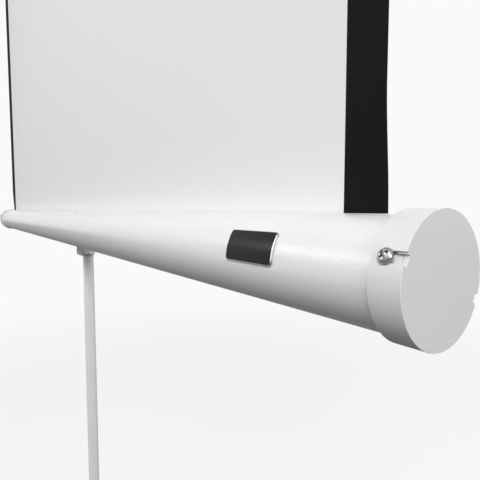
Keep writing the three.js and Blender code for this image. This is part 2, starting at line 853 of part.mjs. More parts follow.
function mastClamp() {
  const bottom = poleTop - clampBelow;
  const body = joined(
    bar('z', clampRadius, bottom, clampTop, [0, 0], tubeSides),
    block([-earHalf, mastBore, earBottomZ], [earHalf, earReach, earTopZ]),
  );
  const slit = clampSlit / 2;
  const slitBottom = earBottomZ - overrun;
  return cut(
    body,
    bar('z', poleBore, bottom - overrun, poleTop + fit, [0, 0], tubeSides),
    bar('z', mastBore, bottom, clampTop + overrun, [0, 0], tubeSides),
    block([-slit, 0, slitBottom], [slit, earReach + overrun, clampTop + overrun]),
    bar('x', clampBoltRadius + fit, -earHalf - overrun, earHalf + overrun, [clampBoltY, clampBoltZ]),
  );
}

// T bolt through the ears, its cross pin along Z at the cam
function clampBolt() {
  const centre = [clampBoltY, clampBoltZ];
  const headStart = -earHalf - fit;
  const pinHalf = leverHeight / 2;
  return joined(
    bar('x', clampBoltHead, headStart - clampBoltHeadHeight, headStart, centre),
    bar('x', clampBoltRadius, headStart - clampBoltHeadHeight / 2, camX, centre),
    bar('z', leverPinRadius, clampBoltZ - pinHalf, clampBoltZ + pinHalf, [camX, clampBoltY]),
  );
}

function clampLever() {
  const low = clampBoltZ - leverHeight / 2;
  const high = clampBoltZ + leverHeight / 2;
  const handleInner = earReach + fit;
  const handleOuter = handleInner + leverThickness;
  const handleEnd = camX - leverLength;
  const outline = new THREE.Shape();
  outline.moveTo(camX - camRadius, clampBoltY);
  outline.absarc(camX, clampBoltY, camRadius, Math.PI, 2 * Math.PI, false);
  outline.lineTo(camX + camRadius, handleInner);
  outline.absarc(camX + camRadius - leverThickness, handleInner, leverThickness, 0, Math.PI / 2);
  outline.lineTo(handleEnd, handleOuter + leverThickness / 2);
  outline.lineTo(handleEnd - leverThickness / 2, handleInner + leverThickness / 2);
  outline.lineTo(camX - camRadius, handleInner);
  outline.closePath();
  const fork = leverFork / 2;
  const forkRadius = camRadius + fit;
  return cut(
    prismZ(outline, low, high),
    bar('z', forkRadius, clampBoltZ - fork, clampBoltZ + fork, [camX, clampBoltY], tubeSides),
    block(
      [0, clampBoltY - forkRadius, clampBoltZ - fork],
      [camX, earReach + fit, clampBoltZ + fork],
    ),
    bar('z', leverPinRadius + fit, low - overrun, high + overrun, [camX, clampBoltY]),
  );
}

// Mast head: a skirt on the mast and a fork for the hook arm
function mastHead() {
  const radius = mastBore + headWall;
  const bottom = mastTop - headSkirt;
  const top = armPinZ + headAbovePin;
  const slotHalf = armThickness / 2 + fit;
  const forkHalf = slotHalf + forkThickness;
  const forkOutline = new THREE.Shape();
  forkOutline.moveTo(0, armPinZ - armEye);
  forkOutline.lineTo(0, armPinZ + armEye);
  forkOutline.lineTo(armPinY, armPinZ + armEye);
  forkOutline.absarc(armPinY, armPinZ, armEye, Math.PI / 2, 1.5 * Math.PI);
  const slotBack = armPinY + armEye + fit;
  return cut(
    joined(
      bar('z', radius, bottom, top, [0, 0], tubeSides),
      prismX(forkOutline, -forkHalf, forkHalf),
    ),
    bar('z', mastBore, bottom - overrun, mastTop + fit, [0, 0], tubeSides),
    block(
      [-slotHalf, armPinY - 2 * armEye, mastTop + fit],
      [slotHalf, slotBack, top + overrun],
    ),
    bar('x', armPinRadius + fit, -forkHalf - overrun, forkHalf + overrun, [armPinY, armPinZ]),
  );
}

function armPin() {
  const half = armThickness / 2 + fit + forkThickness;
  return turnedX([
    [-half - fit - pinHeadHeight, 0],
    [-half - fit - pinHeadHeight, pinHeadRadius],
    [-half - fit, pinHeadRadius],
    [-half - fit, armPinRadius],
    [half + fit, armPinRadius],
    [half + fit, pinHeadRadius],
    [half + fit + pinHeadHeight, pinHeadRadius],
    [half + fit + pinHeadHeight, 0],
  ], holeSides);
}

// Hook arm about its pin, pointing forward, with the notch for the bail
function hookArm() {
  const notchY = hookY - caseToPole - armPinY;
  const tipY = notchY - notchRadius - armLip;
  const outline = new THREE.Shape();
  outline.moveTo(tipY, armTop);
  outline.lineTo(tipY, notchRise - notchRadius);
  outline.lineTo(tipY + armBottom, -armBottom);
  outline.lineTo(-armEye, -armBottom);
  outline.absarc(0, 0, armEye, Math.PI * 1.25, Math.PI * 2.75, false);
  outline.lineTo(-armEye, armTop);
  outline.lineTo(notchY + notchRadius, armTop);
  outline.lineTo(notchY + notchRadius, notchRise);
  outline.absarc(notchY, notchRise, notchRadius, 0, -Math.PI, true);
  outline.lineTo(notchY - notchRadius, armTop);
  const half = armThickness / 2;
  const hole = bar('x', armPinRadius + fit, -half - overrun, half + overrun);
  return cut(prismX(outline, -half, half), hole);
}

// Tripod parts: hub and collar rings with an eye for each leg
const azimuths = Array.from({ length: legCount }, (_, i) => 90 + (360 * i) / legCount);
const collarTongue = legWidth / 2 - legWall - fit;
const hubTongue = braceWidth / 2 - braceWall - fit;

function eyedRing(height, tongueHalf, tongueEye) {
  const ring = bar('z', hubRadius, -height / 2, height / 2, [0, 0], tubeSides);
  const holes = [];
  const tongues = azimuths.map((azimuth) => {
    const outline = new THREE.Shape();
    outline.moveTo(0, -tongueEye);
    outline.lineTo(pinOffset, -tongueEye);
    outline.absarc(pinOffset, 0, tongueEye, -Math.PI / 2, Math.PI / 2);
    outline.lineTo(0, tongueEye);
    const tongue = extruded(outline, -tongueHalf, tongueHalf).applyMatrix4(drawnInXZ);
    const hole = new THREE.CylinderGeometry(pinRadius + fit, pinRadius + fit, legWidth, holeSides);
    hole.translate(pinOffset, 0, 0).rotateZ(azimuth * turn);
    holes.push(solidFrom(hole));
    return solidFrom(tongue.rotateZ(azimuth * turn));
  });
  const bore = bar('z', poleBore, -height, height, [0, 0], tubeSides);
  return cut(joined(ring, ...tongues), bore, ...holes);
}

function baseHub() {
  return eyedRing(hubHeight, hubTongue, eyeRadius);
}

function legCollar() {
  const boss = new THREE.CylinderGeometry(
    collarBossRadius, collarBossRadius, hubRadius + collarBossLength - poleBore, tubeSides,
  );
  boss.translate(0, (hubRadius + collarBossLength + poleBore) / 2, 0);
  const stud = new THREE.CylinderGeometry(
    collarStudRadius + fit, collarStudRadius + fit, 2 * hubRadius, holeSides,
  );
  stud.translate(0, hubRadius, 0);
  [boss, stud].forEach((geometry) => geometry.rotateZ(collarKnobAzimuth * turn - Math.PI / 2));
  const ring = joined(eyedRing(collarHeight, collarTongue, eyeRadius), solidFrom(boss));
  const bore = bar('z', poleBore, -collarHeight, collarHeight, [0, 0], tubeSides);
  return cut(ring, solidFrom(stud), bore);
}

// Rivet across X with a head on each end
function rivet(halfGrip) {
  const shoulder = halfGrip + fit;
  return turnedX([
    [-shoulder - pinHeadHeight, 0],
    [-shoulder - pinHeadHeight, pinHeadRadius],
    [-shoulder, pinHeadRadius],
    [-shoulder, pinRadius],
    [shoulder, pinRadius],
    [shoulder, pinHeadRadius],
    [shoulder + pinHeadHeight, pinHeadRadius],
    [shoulder + pinHeadHeight, 0],
  ], holeSides);
}

// Brace: a pressed channel from its knee pin down to the hub, open towards the pole
function brace() {
  const half = braceWidth / 2;
  const inner = half - braceWall;
  const edge = braceDepth / 2;
  return cut(
    prismX(capsule(edge, -kneeReach, 0), -half, half),
    block([-inner, -edge - overrun, -kneeReach - overrun], [inner, edge - braceWall, overrun]),
    block([-inner, -edge - overrun, -braceWebSetback], [inner, edge + overrun, edge + overrun]),
    block(
      [-inner, -edge - overrun, -kneeReach - edge - overrun],
      [inner, edge + overrun, -kneeReach + braceWebSetback],
    ),
    bar('x', pinRadius + fit, -legWidth, legWidth),
    bar('x', pinRadius + fit, -legWidth, legWidth, [0, -kneeReach]),
  );
}

// Distance along the leg from its top pin to the floor, at an offset towards its web
function legToFloor(offset) {
  return (collarPinHeight + offset * Math.sin(spread)) / Math.cos(spread);
}

const legEnd = legToFloor(-legDepth / 2) - footPad / Math.cos(spread);

// Leg: a pressed channel from its collar pin, open towards the pole
function leg() {
  const half = legWidth / 2;
  const inner = half - legWall;
  const edge = legDepth / 2;
  const outline = new THREE.Shape();
  outline.moveTo(-edge, -legEnd);
  outline.lineTo(edge, -legEnd);
  outline.lineTo(edge, 0);
  outline.absarc(0, 0, edge, 0, Math.PI);
  return cut(
    prismX(outline, -half, half),
    block([-inner, -edge - overrun, -legEnd - overrun], [inner, edge - legWall, overrun]),
    block([-inner, -edge - overrun, 0], [inner, edge + overrun, edge + overrun]),
    bar('x', pinRadius + fit, -legWidth, legWidth),
    bar('x', pinRadius + fit, -legWidth, legWidth, [0, -kneeReach]),
  );
}

// Rubber boot over the leg end, cut flat where it meets the floor
function foot() {
  const sleeveHalf = legWidth / 2 + fit;
  const sleeveEdge = legDepth / 2 + fit;
  const outerHalf = sleeveHalf + footWall;
  const outerEdge = sleeveEdge + footWall;
  const top = -(legEnd - footSleeve);
  const toe = -(legEnd + footToe);
  const toeOffset = ((legEnd + footToe) * Math.cos(spread) - collarPinHeight) / Math.sin(spread);
  const outline = new THREE.Shape([
    new THREE.Vector2(-outerEdge, top),
    new THREE.Vector2(-outerEdge, -legToFloor(-outerEdge)),
    new THREE.Vector2(toeOffset, toe),
    new THREE.Vector2(outerEdge, toe),
    new THREE.Vector2(outerEdge, top),
  ]);
  return cut(
    prismX(outline, -outerHalf, outerHalf),
    block([-sleeveHalf, -sleeveEdge, -legEnd - fit], [sleeveHalf, sleeveEdge, top + overrun]),
  );
}

// Assembly of the case and everything that turns with it, about the case axis
function caseAssembly() {
  const group = new THREE.Group();
  group.position.set(0, -caseToPole, caseHeight);
  const badge = piece('badge_plate', badgePlate(), finishes.bareBadge);
  badge.position.x = caseLength / 2 - badgeInset - badgeLength;
  badge.rotation.x = -badgeAngle * turn;
  group.add(
    piece('case_tube', caseTube(), finishes.casePaint),
    piece('saddle', saddle(), finishes.greyPlastic),
    piece('pivot_bolt', pivotBolt(), finishes.zincSteel),
    piece('pivot_nut', pivotNut(), finishes.zincSteel),
    badge,
    rollerAssembly(),
    caseEnd('right', 1),
    caseEnd('left', -1),
    sheetAssembly(),
  );
  return group;
}

// One end of the case; the left end is the mirror image of the right one
function caseEnd(side, sign) {
  const end = new THREE.Group();
  end.scale.x = sign;
  end.add(
    piece(`end_cap_${side}`, endCap(), finishes.capPaint),
    piece(`roller_bracket_${side}`, rollerBracket(), finishes.zincSteel),
  );
  ['front', 'back'].forEach((place, i) => {
    const screw = piece(`cap_screw_${side}_${place}`, panHeadScrew(), finishes.chrome);
    const direction = frontScrewDirection + i * Math.PI;
    screw.rotation.x = direction;
    const seat = capRadius + fit;
    screw.position.set(
      caseLength / 2 - capScrewInset, seat * Math.cos(direction), seat * Math.sin(direction),
    );
    end.add(screw);
  });
  return end;
}

function rollerAssembly() {
  const roller = new THREE.Group();
  roller.position.y = rollerAxisY;
  const half = rollerLength / 2;
  const winding = tube('x', windingRadius, rollerRadius + fit, -sheetWidth / 2, sheetWidth / 2);
  const left = new THREE.Group();
  left.scale.x = -1;
  left.add(
    piece('spring_plug', springPlug(), finishes.blackPlastic),
    piece('spring_arbor', springArbor(), finishes.zincSteel),
    piece('roller_spring', rollerSpring(), finishes.zincSteel),
  );
  roller.add(
    piece('roller_tube', tube('x', rollerRadius, rollerRadius - rollerWall, -half, half),
      finishes.aluminium),
    piece('wound_sheet', winding, finishes.screenWhite),
    piece('idler_plug', idlerPlug(), finishes.blackPlastic),
    left,
  );
  return roller;
}

function sheetAssembly() {
  const sheet = new THREE.Group();
  const bail = piece('bail', bailWire(), finishes.chrome);
  bail.position.set(0, bailPivotY, bailPivotZ);
  bail.rotation.x = -bailLean;
  const rightCap = piece('bar_cap_right', barCap(), finishes.blackPlastic);
  const leftCap = piece('bar_cap_left', barCap(), finishes.blackPlastic);
  leftCap.scale.x = -1;
  sheet.add(
    piece('screen_sheet', whiteField(), finishes.screenWhite),
    piece('screen_border', blackBorder(), finishes.screenBlack),
    piece('top_bar', topBar(), finishes.casePaint),
    rightCap,
    leftCap,
    piece('bail_bracket', bailBracket(), finishes.zincSteel),
    bail,
  );
  return sheet;
}

// Carriage on the pole, drawn from the case axis
function carriageAssembly() {
  const group = new THREE.Group();
  group.position.set(0, -caseToPole, caseHeight);
  const knobGap = fit + fit;
  const studLength = poleBore + carriageBackWall + carriageBossLength - poleRadius;
  const knob = piece(
    'carriage_knob',
    clampKnob(carriageKnobRadius, carriageKnobLength, carriageStudRadius, studLength),
    finishes.blackPlastic,
  );
  knob.position.y = caseToPole + poleRadius + knobGap;
  group.add(
    piece('carriage', carriage(), finishes.greyPlastic),
    piece('stop_pin', stopPin(), finishes.zincSteel),
    knob,
  );
  return group;
}

function poleAssembly() {
  const group = new THREE.Group();
  const arm = piece('hook_arm', hookArm(), finishes.zincSteel);
  arm.position.set(0, armPinY, armPinZ);
  const pin = piece('arm_pin', armPin(), finishes.zincSteel);
  pin.position.copy(arm.position);
  group.add(
    piece('outer_pole', outerPole(), finishes.polePaint),
    piece('pole_plug', polePlug(), finishes.blackPlastic),
    piece('mast', mast(), finishes.aluminium),
    piece('mast_bush', mastBush(), finishes.blackPlastic),
    piece('mast_clamp', mastClamp(), finishes.greyPlastic),
    piece('clamp_bolt', clampBolt(), finishes.zincSteel),
    piece('clamp_lever', clampLever(), finishes.blackPlastic),
    piece('mast_head', mastHead(), finishes.greyPlastic),
    arm,
    pin,
  );
  return group;
}

// One leg with its brace, foot and rivets, swung out to its stop
function legAssembly(index, azimuth) {
  const station = new THREE.Group();
  station.rotation.z = (azimuth - 90) * turn;
  const swung = (mesh, height, angle) => {
    mesh.position.set(0, pinOffset, height);
    mesh.rotation.x = angle;
    return mesh;
  };
  const kneeHeight = (hubPinHeight + collarPinHeight) / 2;
  const number = index + 1;
  const braceMesh = piece(`brace_${number}`, brace(), finishes.zincSteel);
  braceMesh.position.set(0, pinOffset + kneeReach * Math.sin(spread), kneeHeight);
  braceMesh.rotation.x = -spread;
  const kneePin = piece(`knee_pin_${number}`, rivet(legWidth / 2), finishes.zincSteel);
  kneePin.position.copy(braceMesh.position);
  station.add(
    swung(piece(`leg_${number}`, leg(), finishes.polePaint), collarPinHeight, spread),
    swung(piece(`foot_${number}`, foot(), finishes.rubber), collarPinHeight, spread),
    swung(piece(`collar_pin_${number}`, rivet(legWidth / 2), finishes.zincSteel),
      collarPinHeight, 0),
    swung(piece(`hub_pin_${number}`, rivet(braceWidth / 2), finishes.zincSteel), hubPinHeight, 0),
    braceMesh,
    kneePin,
  );
  return station;
}

function tripodAssembly() {
  const group = new THREE.Group();
  const hub = piece('base_hub', baseHub(), finishes.greyPlastic);
  hub.position.z = hubPinHeight;
  const collar = piece('leg_collar', legCollar(), finishes.greyPlastic);
  collar.position.z = collarPinHeight;
  const studLength = hubRadius + collarBossLength - poleRadius;
  const knob = piece(
    'collar_knob',
    clampKnob(collarKnobRadius, collarKnobLength, collarStudRadius, studLength),
    finishes.blackPlastic,
  );
  const stud = poleRadius + fit + fit;
  const azimuth = collarKnobAzimuth * turn;
  knob.position.set(stud * Math.cos(azimuth), stud * Math.sin(azimuth), collarPinHeight);
  knob.rotation.z = azimuth - Math.PI / 2;
  group.add(hub, collar, knob, ...azimuths.map((angle, i) => legAssembly(i, angle)));
  return group;
}

const projectorScreen = new THREE.Group();
projectorScreen.add(tripodAssembly(), poleAssembly(), carriageAssembly(), caseAssembly());

// The frame's origin is the middle of the footprint, on the floor
const box = new THREE.Box3().setFromObject(projectorScreen, true);
const middle = box.getCenter(new THREE.Vector3());
projectorScreen.position.set(-middle.x, -middle.y, -box.min.z);

export default projectorScreen;
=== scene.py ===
import json
import math
from contextlib import contextmanager
from functools import cache

import bmesh
import bpy
from bpy.props import FloatProperty, FloatVectorProperty, IntProperty, PointerProperty
from mathutils import Euler, Matrix, Vector


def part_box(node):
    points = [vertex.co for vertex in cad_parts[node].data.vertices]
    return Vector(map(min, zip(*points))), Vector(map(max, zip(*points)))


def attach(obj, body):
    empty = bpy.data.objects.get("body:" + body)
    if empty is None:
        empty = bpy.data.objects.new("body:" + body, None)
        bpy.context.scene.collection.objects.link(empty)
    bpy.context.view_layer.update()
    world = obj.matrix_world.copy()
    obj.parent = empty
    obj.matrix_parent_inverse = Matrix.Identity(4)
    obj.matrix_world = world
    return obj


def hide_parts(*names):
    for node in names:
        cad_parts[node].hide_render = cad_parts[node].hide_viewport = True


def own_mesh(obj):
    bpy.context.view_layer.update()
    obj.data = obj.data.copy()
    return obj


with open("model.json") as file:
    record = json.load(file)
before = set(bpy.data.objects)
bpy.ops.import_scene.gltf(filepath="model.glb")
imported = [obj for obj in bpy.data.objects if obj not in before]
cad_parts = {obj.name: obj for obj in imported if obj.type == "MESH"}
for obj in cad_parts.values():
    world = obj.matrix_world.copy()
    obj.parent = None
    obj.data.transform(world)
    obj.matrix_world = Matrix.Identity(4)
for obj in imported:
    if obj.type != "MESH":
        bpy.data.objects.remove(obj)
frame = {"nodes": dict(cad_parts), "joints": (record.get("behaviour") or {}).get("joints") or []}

bl_info = {
    "name": "Tripod projector screen",
    "version": (1, 0, 0),
    "blender": (4, 5, 0),
    "location": "View3D > Sidebar > Projector screen",
    "description": "Fine surfaces and finishes for a tripod projector screen",
    "category": "Object",
}

MM = 0.001
WELD = 0.005 * MM  # vertices nearer than this are one
SLIVER = 0.002 * MM  # edges shorter than this go
HALF_TURN = math.pi
QUARTER_TURN = math.pi / 2
SIDES = (("right", 1), ("left", -1))

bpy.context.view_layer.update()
joints = {joint["name"]: joint for joint in frame["joints"]}
case_axis = Vector(joints["case_pivot"]["pos_m"])
pole_low, pole_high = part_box("outer_pole")
pole_axis = Vector(((pole_low.x + pole_high.x) / 2, (pole_low.y + pole_high.y) / 2, 0))
pole_radius = (pole_high.x - pole_low.x) / 2
tube_low, tube_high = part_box("case_tube")
cap_low, cap_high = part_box("end_cap_right")
cap_radius = (cap_high.z - cap_low.z) / 2
sheet_low, sheet_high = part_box("screen_sheet")
border_low, border_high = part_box("screen_border")
bar_low, bar_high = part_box("top_bar")
sheet_plane = (sheet_low.y + sheet_high.y) / 2


# Sizes and colours that a user would change

def number(name, description, default, **kind):
    return FloatProperty(name=name, description=description, default=default, **kind)


def length(*terms):
    return number(*terms, min=0, unit="LENGTH", precision=5)


def power(*terms):
    return number(*terms, min=0, subtype="POWER")


def angle(name, description, degrees):
    return number(name, description, math.radians(degrees), unit="ROTATION")


def colour(name, description, default):
    return FloatVectorProperty(name=name, description=description, default=default, min=0, max=1,
                               size=4, subtype="COLOR")


class ScreenCaseSettings(bpy.types.PropertyGroup):
    radius: length("Tube radius", "Outer radius of the case tube", (tube_high.z - tube_low.z) / 2)
    wall: length("Tube wall", "Wall of the case tube", 1.2 * MM)
    slot_angle: angle("Slot angle", "Turn of the sheet slot behind the crest", 22)
    slot_width: length("Slot width", "Opening that the sheet comes out of", 10 * MM)
    slot_lip: length("Slot lip", "Depth of the lips turned in at the slot", 5 * MM)
    cap_wall: length("Cap wall", "Wall of the end cap's sleeve", 2.8 * MM)
    cap_face: length("Cap face", "Thickness of the end cap's face", 3 * MM)
    cap_fillet: length("Cap fillet", "Round between the face and the sleeve", 0.25 * MM)
    cap_slot: length("Cap slot", "Width of the open slot for the screw", 6.3 * MM)
    slot_ledge: length("Slot ledge", "Ledge half way down the slot's upper side", 0.8 * MM)
    sleeve_gap: length("Sleeve gap", "What the sleeve falls short of the solid", 1.2 * MM)
    screw_inset: length("Screw inset", "From the cap's face to the screw", 9.6 * MM)
    screw_angle: angle("Screw angle", "Front screw above the front horizontal", 22)
    paint: colour("Case paint", "White powder coat", (0.77, 0.77, 0.765, 1))
    cap_paint: colour("Cap paint", "Satin paint of the end caps", (0.70, 0.70, 0.70, 1))
    peel: length("Peel size", "Size of the orange peel in the coat", 0.9 * MM)


class ScreenBadgeSettings(bpy.types.PropertyGroup):
    length: length("Length", "Length along the case", 51 * MM)
    height: length("Height", "Height round the case", 22.5 * MM)
    inset: length("Inset", "From the case's end to the plate", 92.5 * MM)
    angle: angle("Angle", "Middle of the plate above the front horizontal", 18)
    corner: length("Corner", "Corner radius", 2.5 * MM)
    thickness: length("Thickness", "Height of the plate's bright edge", 1.2 * MM)
    rim: length("Rim", "Width of the bright rim round the face", 0.35 * MM)
    plate: colour("Plate", "Dark plate, bare", (0.012, 0.013, 0.015, 1))


class ScreenSheetSettings(bpy.types.PropertyGroup):
    thickness: length("Thickness", "Thickness of the cloth", 0.5 * MM)
    weave: length("Weave", "Pitch of the weave", 1.3 * MM)
    field: colour("Viewing field", "Matt white viewing surface", (0.82, 0.82, 0.815, 1))
    border: colour("Border", "Matt black masking border", (0.0065, 0.0065, 0.007, 1))
    curl: length("Curl", "How far the free side edges bow forward", 4 * MM)
    curl_rise: length("Curl rise", "Height of the full bow above the case", 75 * MM)
    mouth: number("Mouth", "Share of the left edge's bow at the slot", 0.35, min=0, max=1)


class ScreenFittingSettings(bpy.types.PropertyGroup):
    pole_paint: colour("Pole paint", "White satin paint", (0.79, 0.795, 0.80, 1))
    plastic: colour("Knobs", "Black moulded plastic", (0.018, 0.0185, 0.020, 1))
    grey_plastic: colour("Fittings", "Light grey moulded plastic", (0.62, 0.625, 0.635, 1))
    rubber: colour("Feet", "Black rubber", (0.012, 0.012, 0.013, 1))
    steel: colour("Zinc plate", "Zinc plated steel", (0.52, 0.53, 0.55, 1))
    bright: colour("Bright plate", "Bright plated steel", (0.36, 0.36, 0.37, 1))
    aluminium: colour("Drawn tube", "Satin aluminium", (0.66, 0.67, 0.69, 1))
    round_sides: IntProperty(name="Round sides", description="Sides of a round piece",
                             default=72, min=12, max=256)


class ScreenStageSettings(bpy.types.PropertyGroup):
    lens: number("Lens", "Focal length", 31.23, min=1, subtype="DISTANCE_CAMERA")
    yaw: angle("Yaw", "Turn of the view from the case's axis", 35.135)
    pitch: angle("Pitch", "Tilt of the view below level", 4.173)
    key_power: power("Key light", "Softbox at the front left", 15)
    side_power: power("Side light", "Softbox at the front right", 17.5)
    far_side_power: power("Far side light", "Softbox further to the right", 62)
    back_power: power("Back light", "Softbox behind the screen", 45)
    fill_power: power("Fill light", "Softbox off the case's right end", 21)
    low_power: power("Low light", "Low softbox aimed at the case's far end", 1.4)
    top_power: power("Top light", "Overhead softbox", 1.2)
    ambient: number("Ambient", "Strength of the room light", 0.25, min=0)
    backdrop: colour("Backdrop", "White behind the screen", (0.955, 0.955, 0.955, 1))
    floor: colour("Floor", "Pale floor", (0.9, 0.9, 0.9, 1))
    bounce: colour("Floor bounce", "What the floor sends back on the screen", (0.04, 0.04, 0.04, 1))
    sweep: number("Sweep", "Distance at which the floor is white", 4.5, min=1, unit="LENGTH")


SETTINGS = {
    "screen_case": ScreenCaseSettings,
    "screen_badge": ScreenBadgeSettings,
    "screen_sheet": ScreenSheetSettings,
    "screen_fittings": ScreenFittingSettings,
    "screen_stage": ScreenStageSettings,
}


# Shader nodes

# Places of a Mix node's colour sockets, whose names it gives to other sockets too
MIX_FACTOR, MIX_A, MIX_B, MIX_RESULT = 0, 6, 7, 2


def add_node(tree, kind, **values):
    """New node whose values go to its properties, or else to its inputs of those names."""
    node = tree.nodes.new(kind)
    for key, value in values.items():
        if hasattr(node, key):
            setattr(node, key, value)
        else:
            node.inputs[key.replace("_", " ")].default_value = value
    return node


def link(tree, source, target):
    tree.links.new(source, target)


def calculated(tree, operation, *terms):
    """Result of a math node on sockets and numbers."""
    node = add_node(tree, "ShaderNodeMath", operation=operation)
    for socket, term in zip(node.inputs, terms):
        if isinstance(term, bpy.types.NodeSocket):
            link(tree, term, socket)
        else:
            socket.default_value = term
    return node.outputs[0]


def ranged(tree, factor, low, high, **values):
    """Turns a factor into values between low and high."""
    node = add_node(tree, "ShaderNodeMapRange", To_Min=low, To_Max=high, **values)
    link(tree, factor, node.inputs["Value"])
    return node.outputs["Result"]


def mixed(tree, factor, first, second):
    """Colour between two others."""
    mix = add_node(tree, "ShaderNodeMix", data_type="RGBA")
    mix.inputs[MIX_A].default_value = first
    mix.inputs[MIX_B].default_value = second
    link(tree, factor, mix.inputs[MIX_FACTOR])
    return mix.outputs[MIX_RESULT]


def toned(tree, factor, tone, share):
    """Colour that drifts between a darker and a lighter tone of itself."""
    darker = (*(c * (1 - share) for c in tone[:3]), 1)
    lighter = (*(min(1.0, c * (1 + share)) for c in tone[:3]), 1)
    return mixed(tree, factor, darker, lighter)


def object_place(tree, scale=(1, 1, 1)):
    place = add_node(tree, "ShaderNodeTexCoord")
    mapping = add_node(tree, "ShaderNodeMapping", Scale=scale)
    link(tree, place.outputs["Object"], mapping.inputs["Vector"])
    return mapping.outputs["Vector"]


def pattern(tree, kind, place, **values):
    node = add_node(tree, kind, **values)
    link(tree, place, node.inputs["Vector"])
    return node.outputs["Fac"]


def new_material(name, **values):
    """Material, its node tree and its shader, whose inputs get the values."""
    material = bpy.data.materials.new(name)
    material.use_nodes = True
    shader = material.node_tree.nodes["Principled BSDF"]
    for key, value in values.items():
        shader.inputs[key.replace("_", " ")].default_value = value
    return material, material.node_tree, shader


def bumped(tree, shader, height, relief):
    """Raises a pattern on a surface by a relief in mm."""
    bump = add_node(tree, "ShaderNodeBump", Strength=1.0, Distance=relief * MM)
    link(tree, height, bump.inputs["Height"])
    link(tree, bump.outputs["Normal"], shader.inputs["Normal"])


# Finishes

def surface(name, tone, roughness, grain, relief, drift, metallic=0.0, roughness_share=0.12,
            stretch=(1, 1, 1), specular=0.5):
    """Finish with a fine grain, a slow drift of tone and uneven gloss, all from its own place."""
    material, tree, shader = new_material(name, Metallic=metallic, Specular_IOR_Level=specular)
    fine = pattern(tree, "ShaderNodeTexNoise", object_place(tree, stretch),
                   Scale=1 / (grain * MM), Detail=2.0, Roughness=0.55)
    slow = pattern(tree, "ShaderNodeTexNoise", object_place(tree), Scale=14, Detail=4,
                   Roughness=0.6)
    gloss = ranged(tree, slow, roughness * (1 - roughness_share),
                   roughness * (1 + roughness_share))
    link(tree, toned(tree, slow, tone, drift), shader.inputs["Base Color"])
    link(tree, gloss, shader.inputs["Roughness"])
    bumped(tree, shader, fine, relief)
    return material


def cloth(name, tone, roughness, pitch, relief, drift, sheen, specular):
    """Woven cloth in the plane of the screen: crossing ribs with a little unevenness."""
    material, tree, shader = new_material(name, Roughness=roughness, Sheen_Weight=sheen,
                                          Specular_IOR_Level=specular)
    place = object_place(tree)
    ribs = [pattern(tree, "ShaderNodeTexWave", place, bands_direction=direction,
                    Scale=math.pi / (pitch * MM) / 10, Distortion=0.6, Detail=1.0)
            for direction in ("X", "Z")]
    slow = pattern(tree, "ShaderNodeTexNoise", place, Scale=6, Detail=5, Roughness=0.6)
    link(tree, toned(tree, slow, tone, drift), shader.inputs["Base Color"])
    bumped(tree, shader, calculated(tree, "MAXIMUM", *ribs), relief)
    return material


@cache
def material_for(slot):
    """The finish of one of the record's slots, made once."""
    scene = bpy.context.scene
    case, fittings, sheet = scene.screen_case, scene.screen_fittings, scene.screen_sheet
    peel, weave = case.peel / MM, sheet.weave / MM
    metal = {"metallic": 1}
    drawn = {**metal, "roughness_share": 0.2}
    # Name, colour, roughness, size and relief of the grain in mm, drift, what is special
    *look, special = {
        "case_paint": ("case_powder_coat", case.paint, 0.2, peel, 0.18, 0.008,
                       {"roughness_share": 0.08}),
        "cap_paint": ("cap_satin_paint", case.cap_paint, 0.42, peel, 0.05, 0.008, {}),
        "bare_badge": ("bare_plate_lacquer", scene.screen_badge.plate, 0.3, 0.6, 0.002, 0.03,
                       {"specular": 0.1}),
        "chrome": ("bright_plate", fittings.bright, 0.22, 0.5, 0.002, 0.03,
                   {**metal, "roughness_share": 0.4}),
        "zinc_steel": ("zinc_plate", fittings.steel, 0.36, 0.7, 0.006, 0.1,
                       {**metal, "roughness_share": 0.25}),
        "pole_paint": ("pole_satin_paint", fittings.pole_paint, 0.32, 1.2, 0.012, 0.01, {}),
        "black_plastic": ("moulded_black_plastic", fittings.plastic, 0.5, 0.35, 0.02, 0.15, {}),
        "grey_plastic": ("moulded_grey_plastic", fittings.grey_plastic, 0.45, 0.4, 0.015,
                         0.02, {}),
        "rubber": ("foot_rubber", fittings.rubber, 0.78, 0.5, 0.03, 0.2, {"specular": 0.3}),
        "aluminium": ("drawn_aluminium", fittings.aluminium, 0.3, 0.25, 0.004, 0.03,
                      {**drawn, "stretch": (1, 1, 0.03)}),
        "roller_aluminium": ("drawn_roller_tube", fittings.aluminium, 0.3, 0.25, 0.004, 0.03,
                             {**drawn, "stretch": (0.03, 1, 1)}),
        "screen_white": ("viewing_cloth_white", sheet.field, 0.55, weave, 0.018, 0.015,
                         {"sheen": 0.0, "specular": 0.3}),
        "screen_black": ("masking_cloth_black", sheet.border, 0.9, weave, 0.15, 0.12,
                         {"sheen": 0.03, "specular": 0.08}),
    }[slot]
    make = cloth if slot.startswith("screen") else surface
    return make(*look, **special)


# Mesh building

def shown(name, data):
    """New object in the scene."""
    piece = bpy.data.objects.new(name, data)
    bpy.context.scene.collection.objects.link(piece)
    return piece


@contextmanager
def edited(mesh):
    """A mesh as a bmesh, written back at the end."""
    made = bmesh.new()
    made.from_mesh(mesh)
    yield made
    made.to_mesh(mesh)
    made.free()


def mesh_object(name, vertices, faces):
    mesh = bpy.data.meshes.new(name)
    mesh.from_pydata(vertices, [], faces)
    with edited(mesh) as made:
        bmesh.ops.recalc_face_normals(made, faces=made.faces)
    return shown(name, mesh)


def arc(centre, radius, start, end, steps):
    """Points of an arc in a drawing plane, angles in radians, both ends included."""
    return [(centre[0] + radius * math.cos(start + (end - start) * i / steps),
             centre[1] + radius * math.sin(start + (end - start) * i / steps))
            for i in range(steps + 1)]


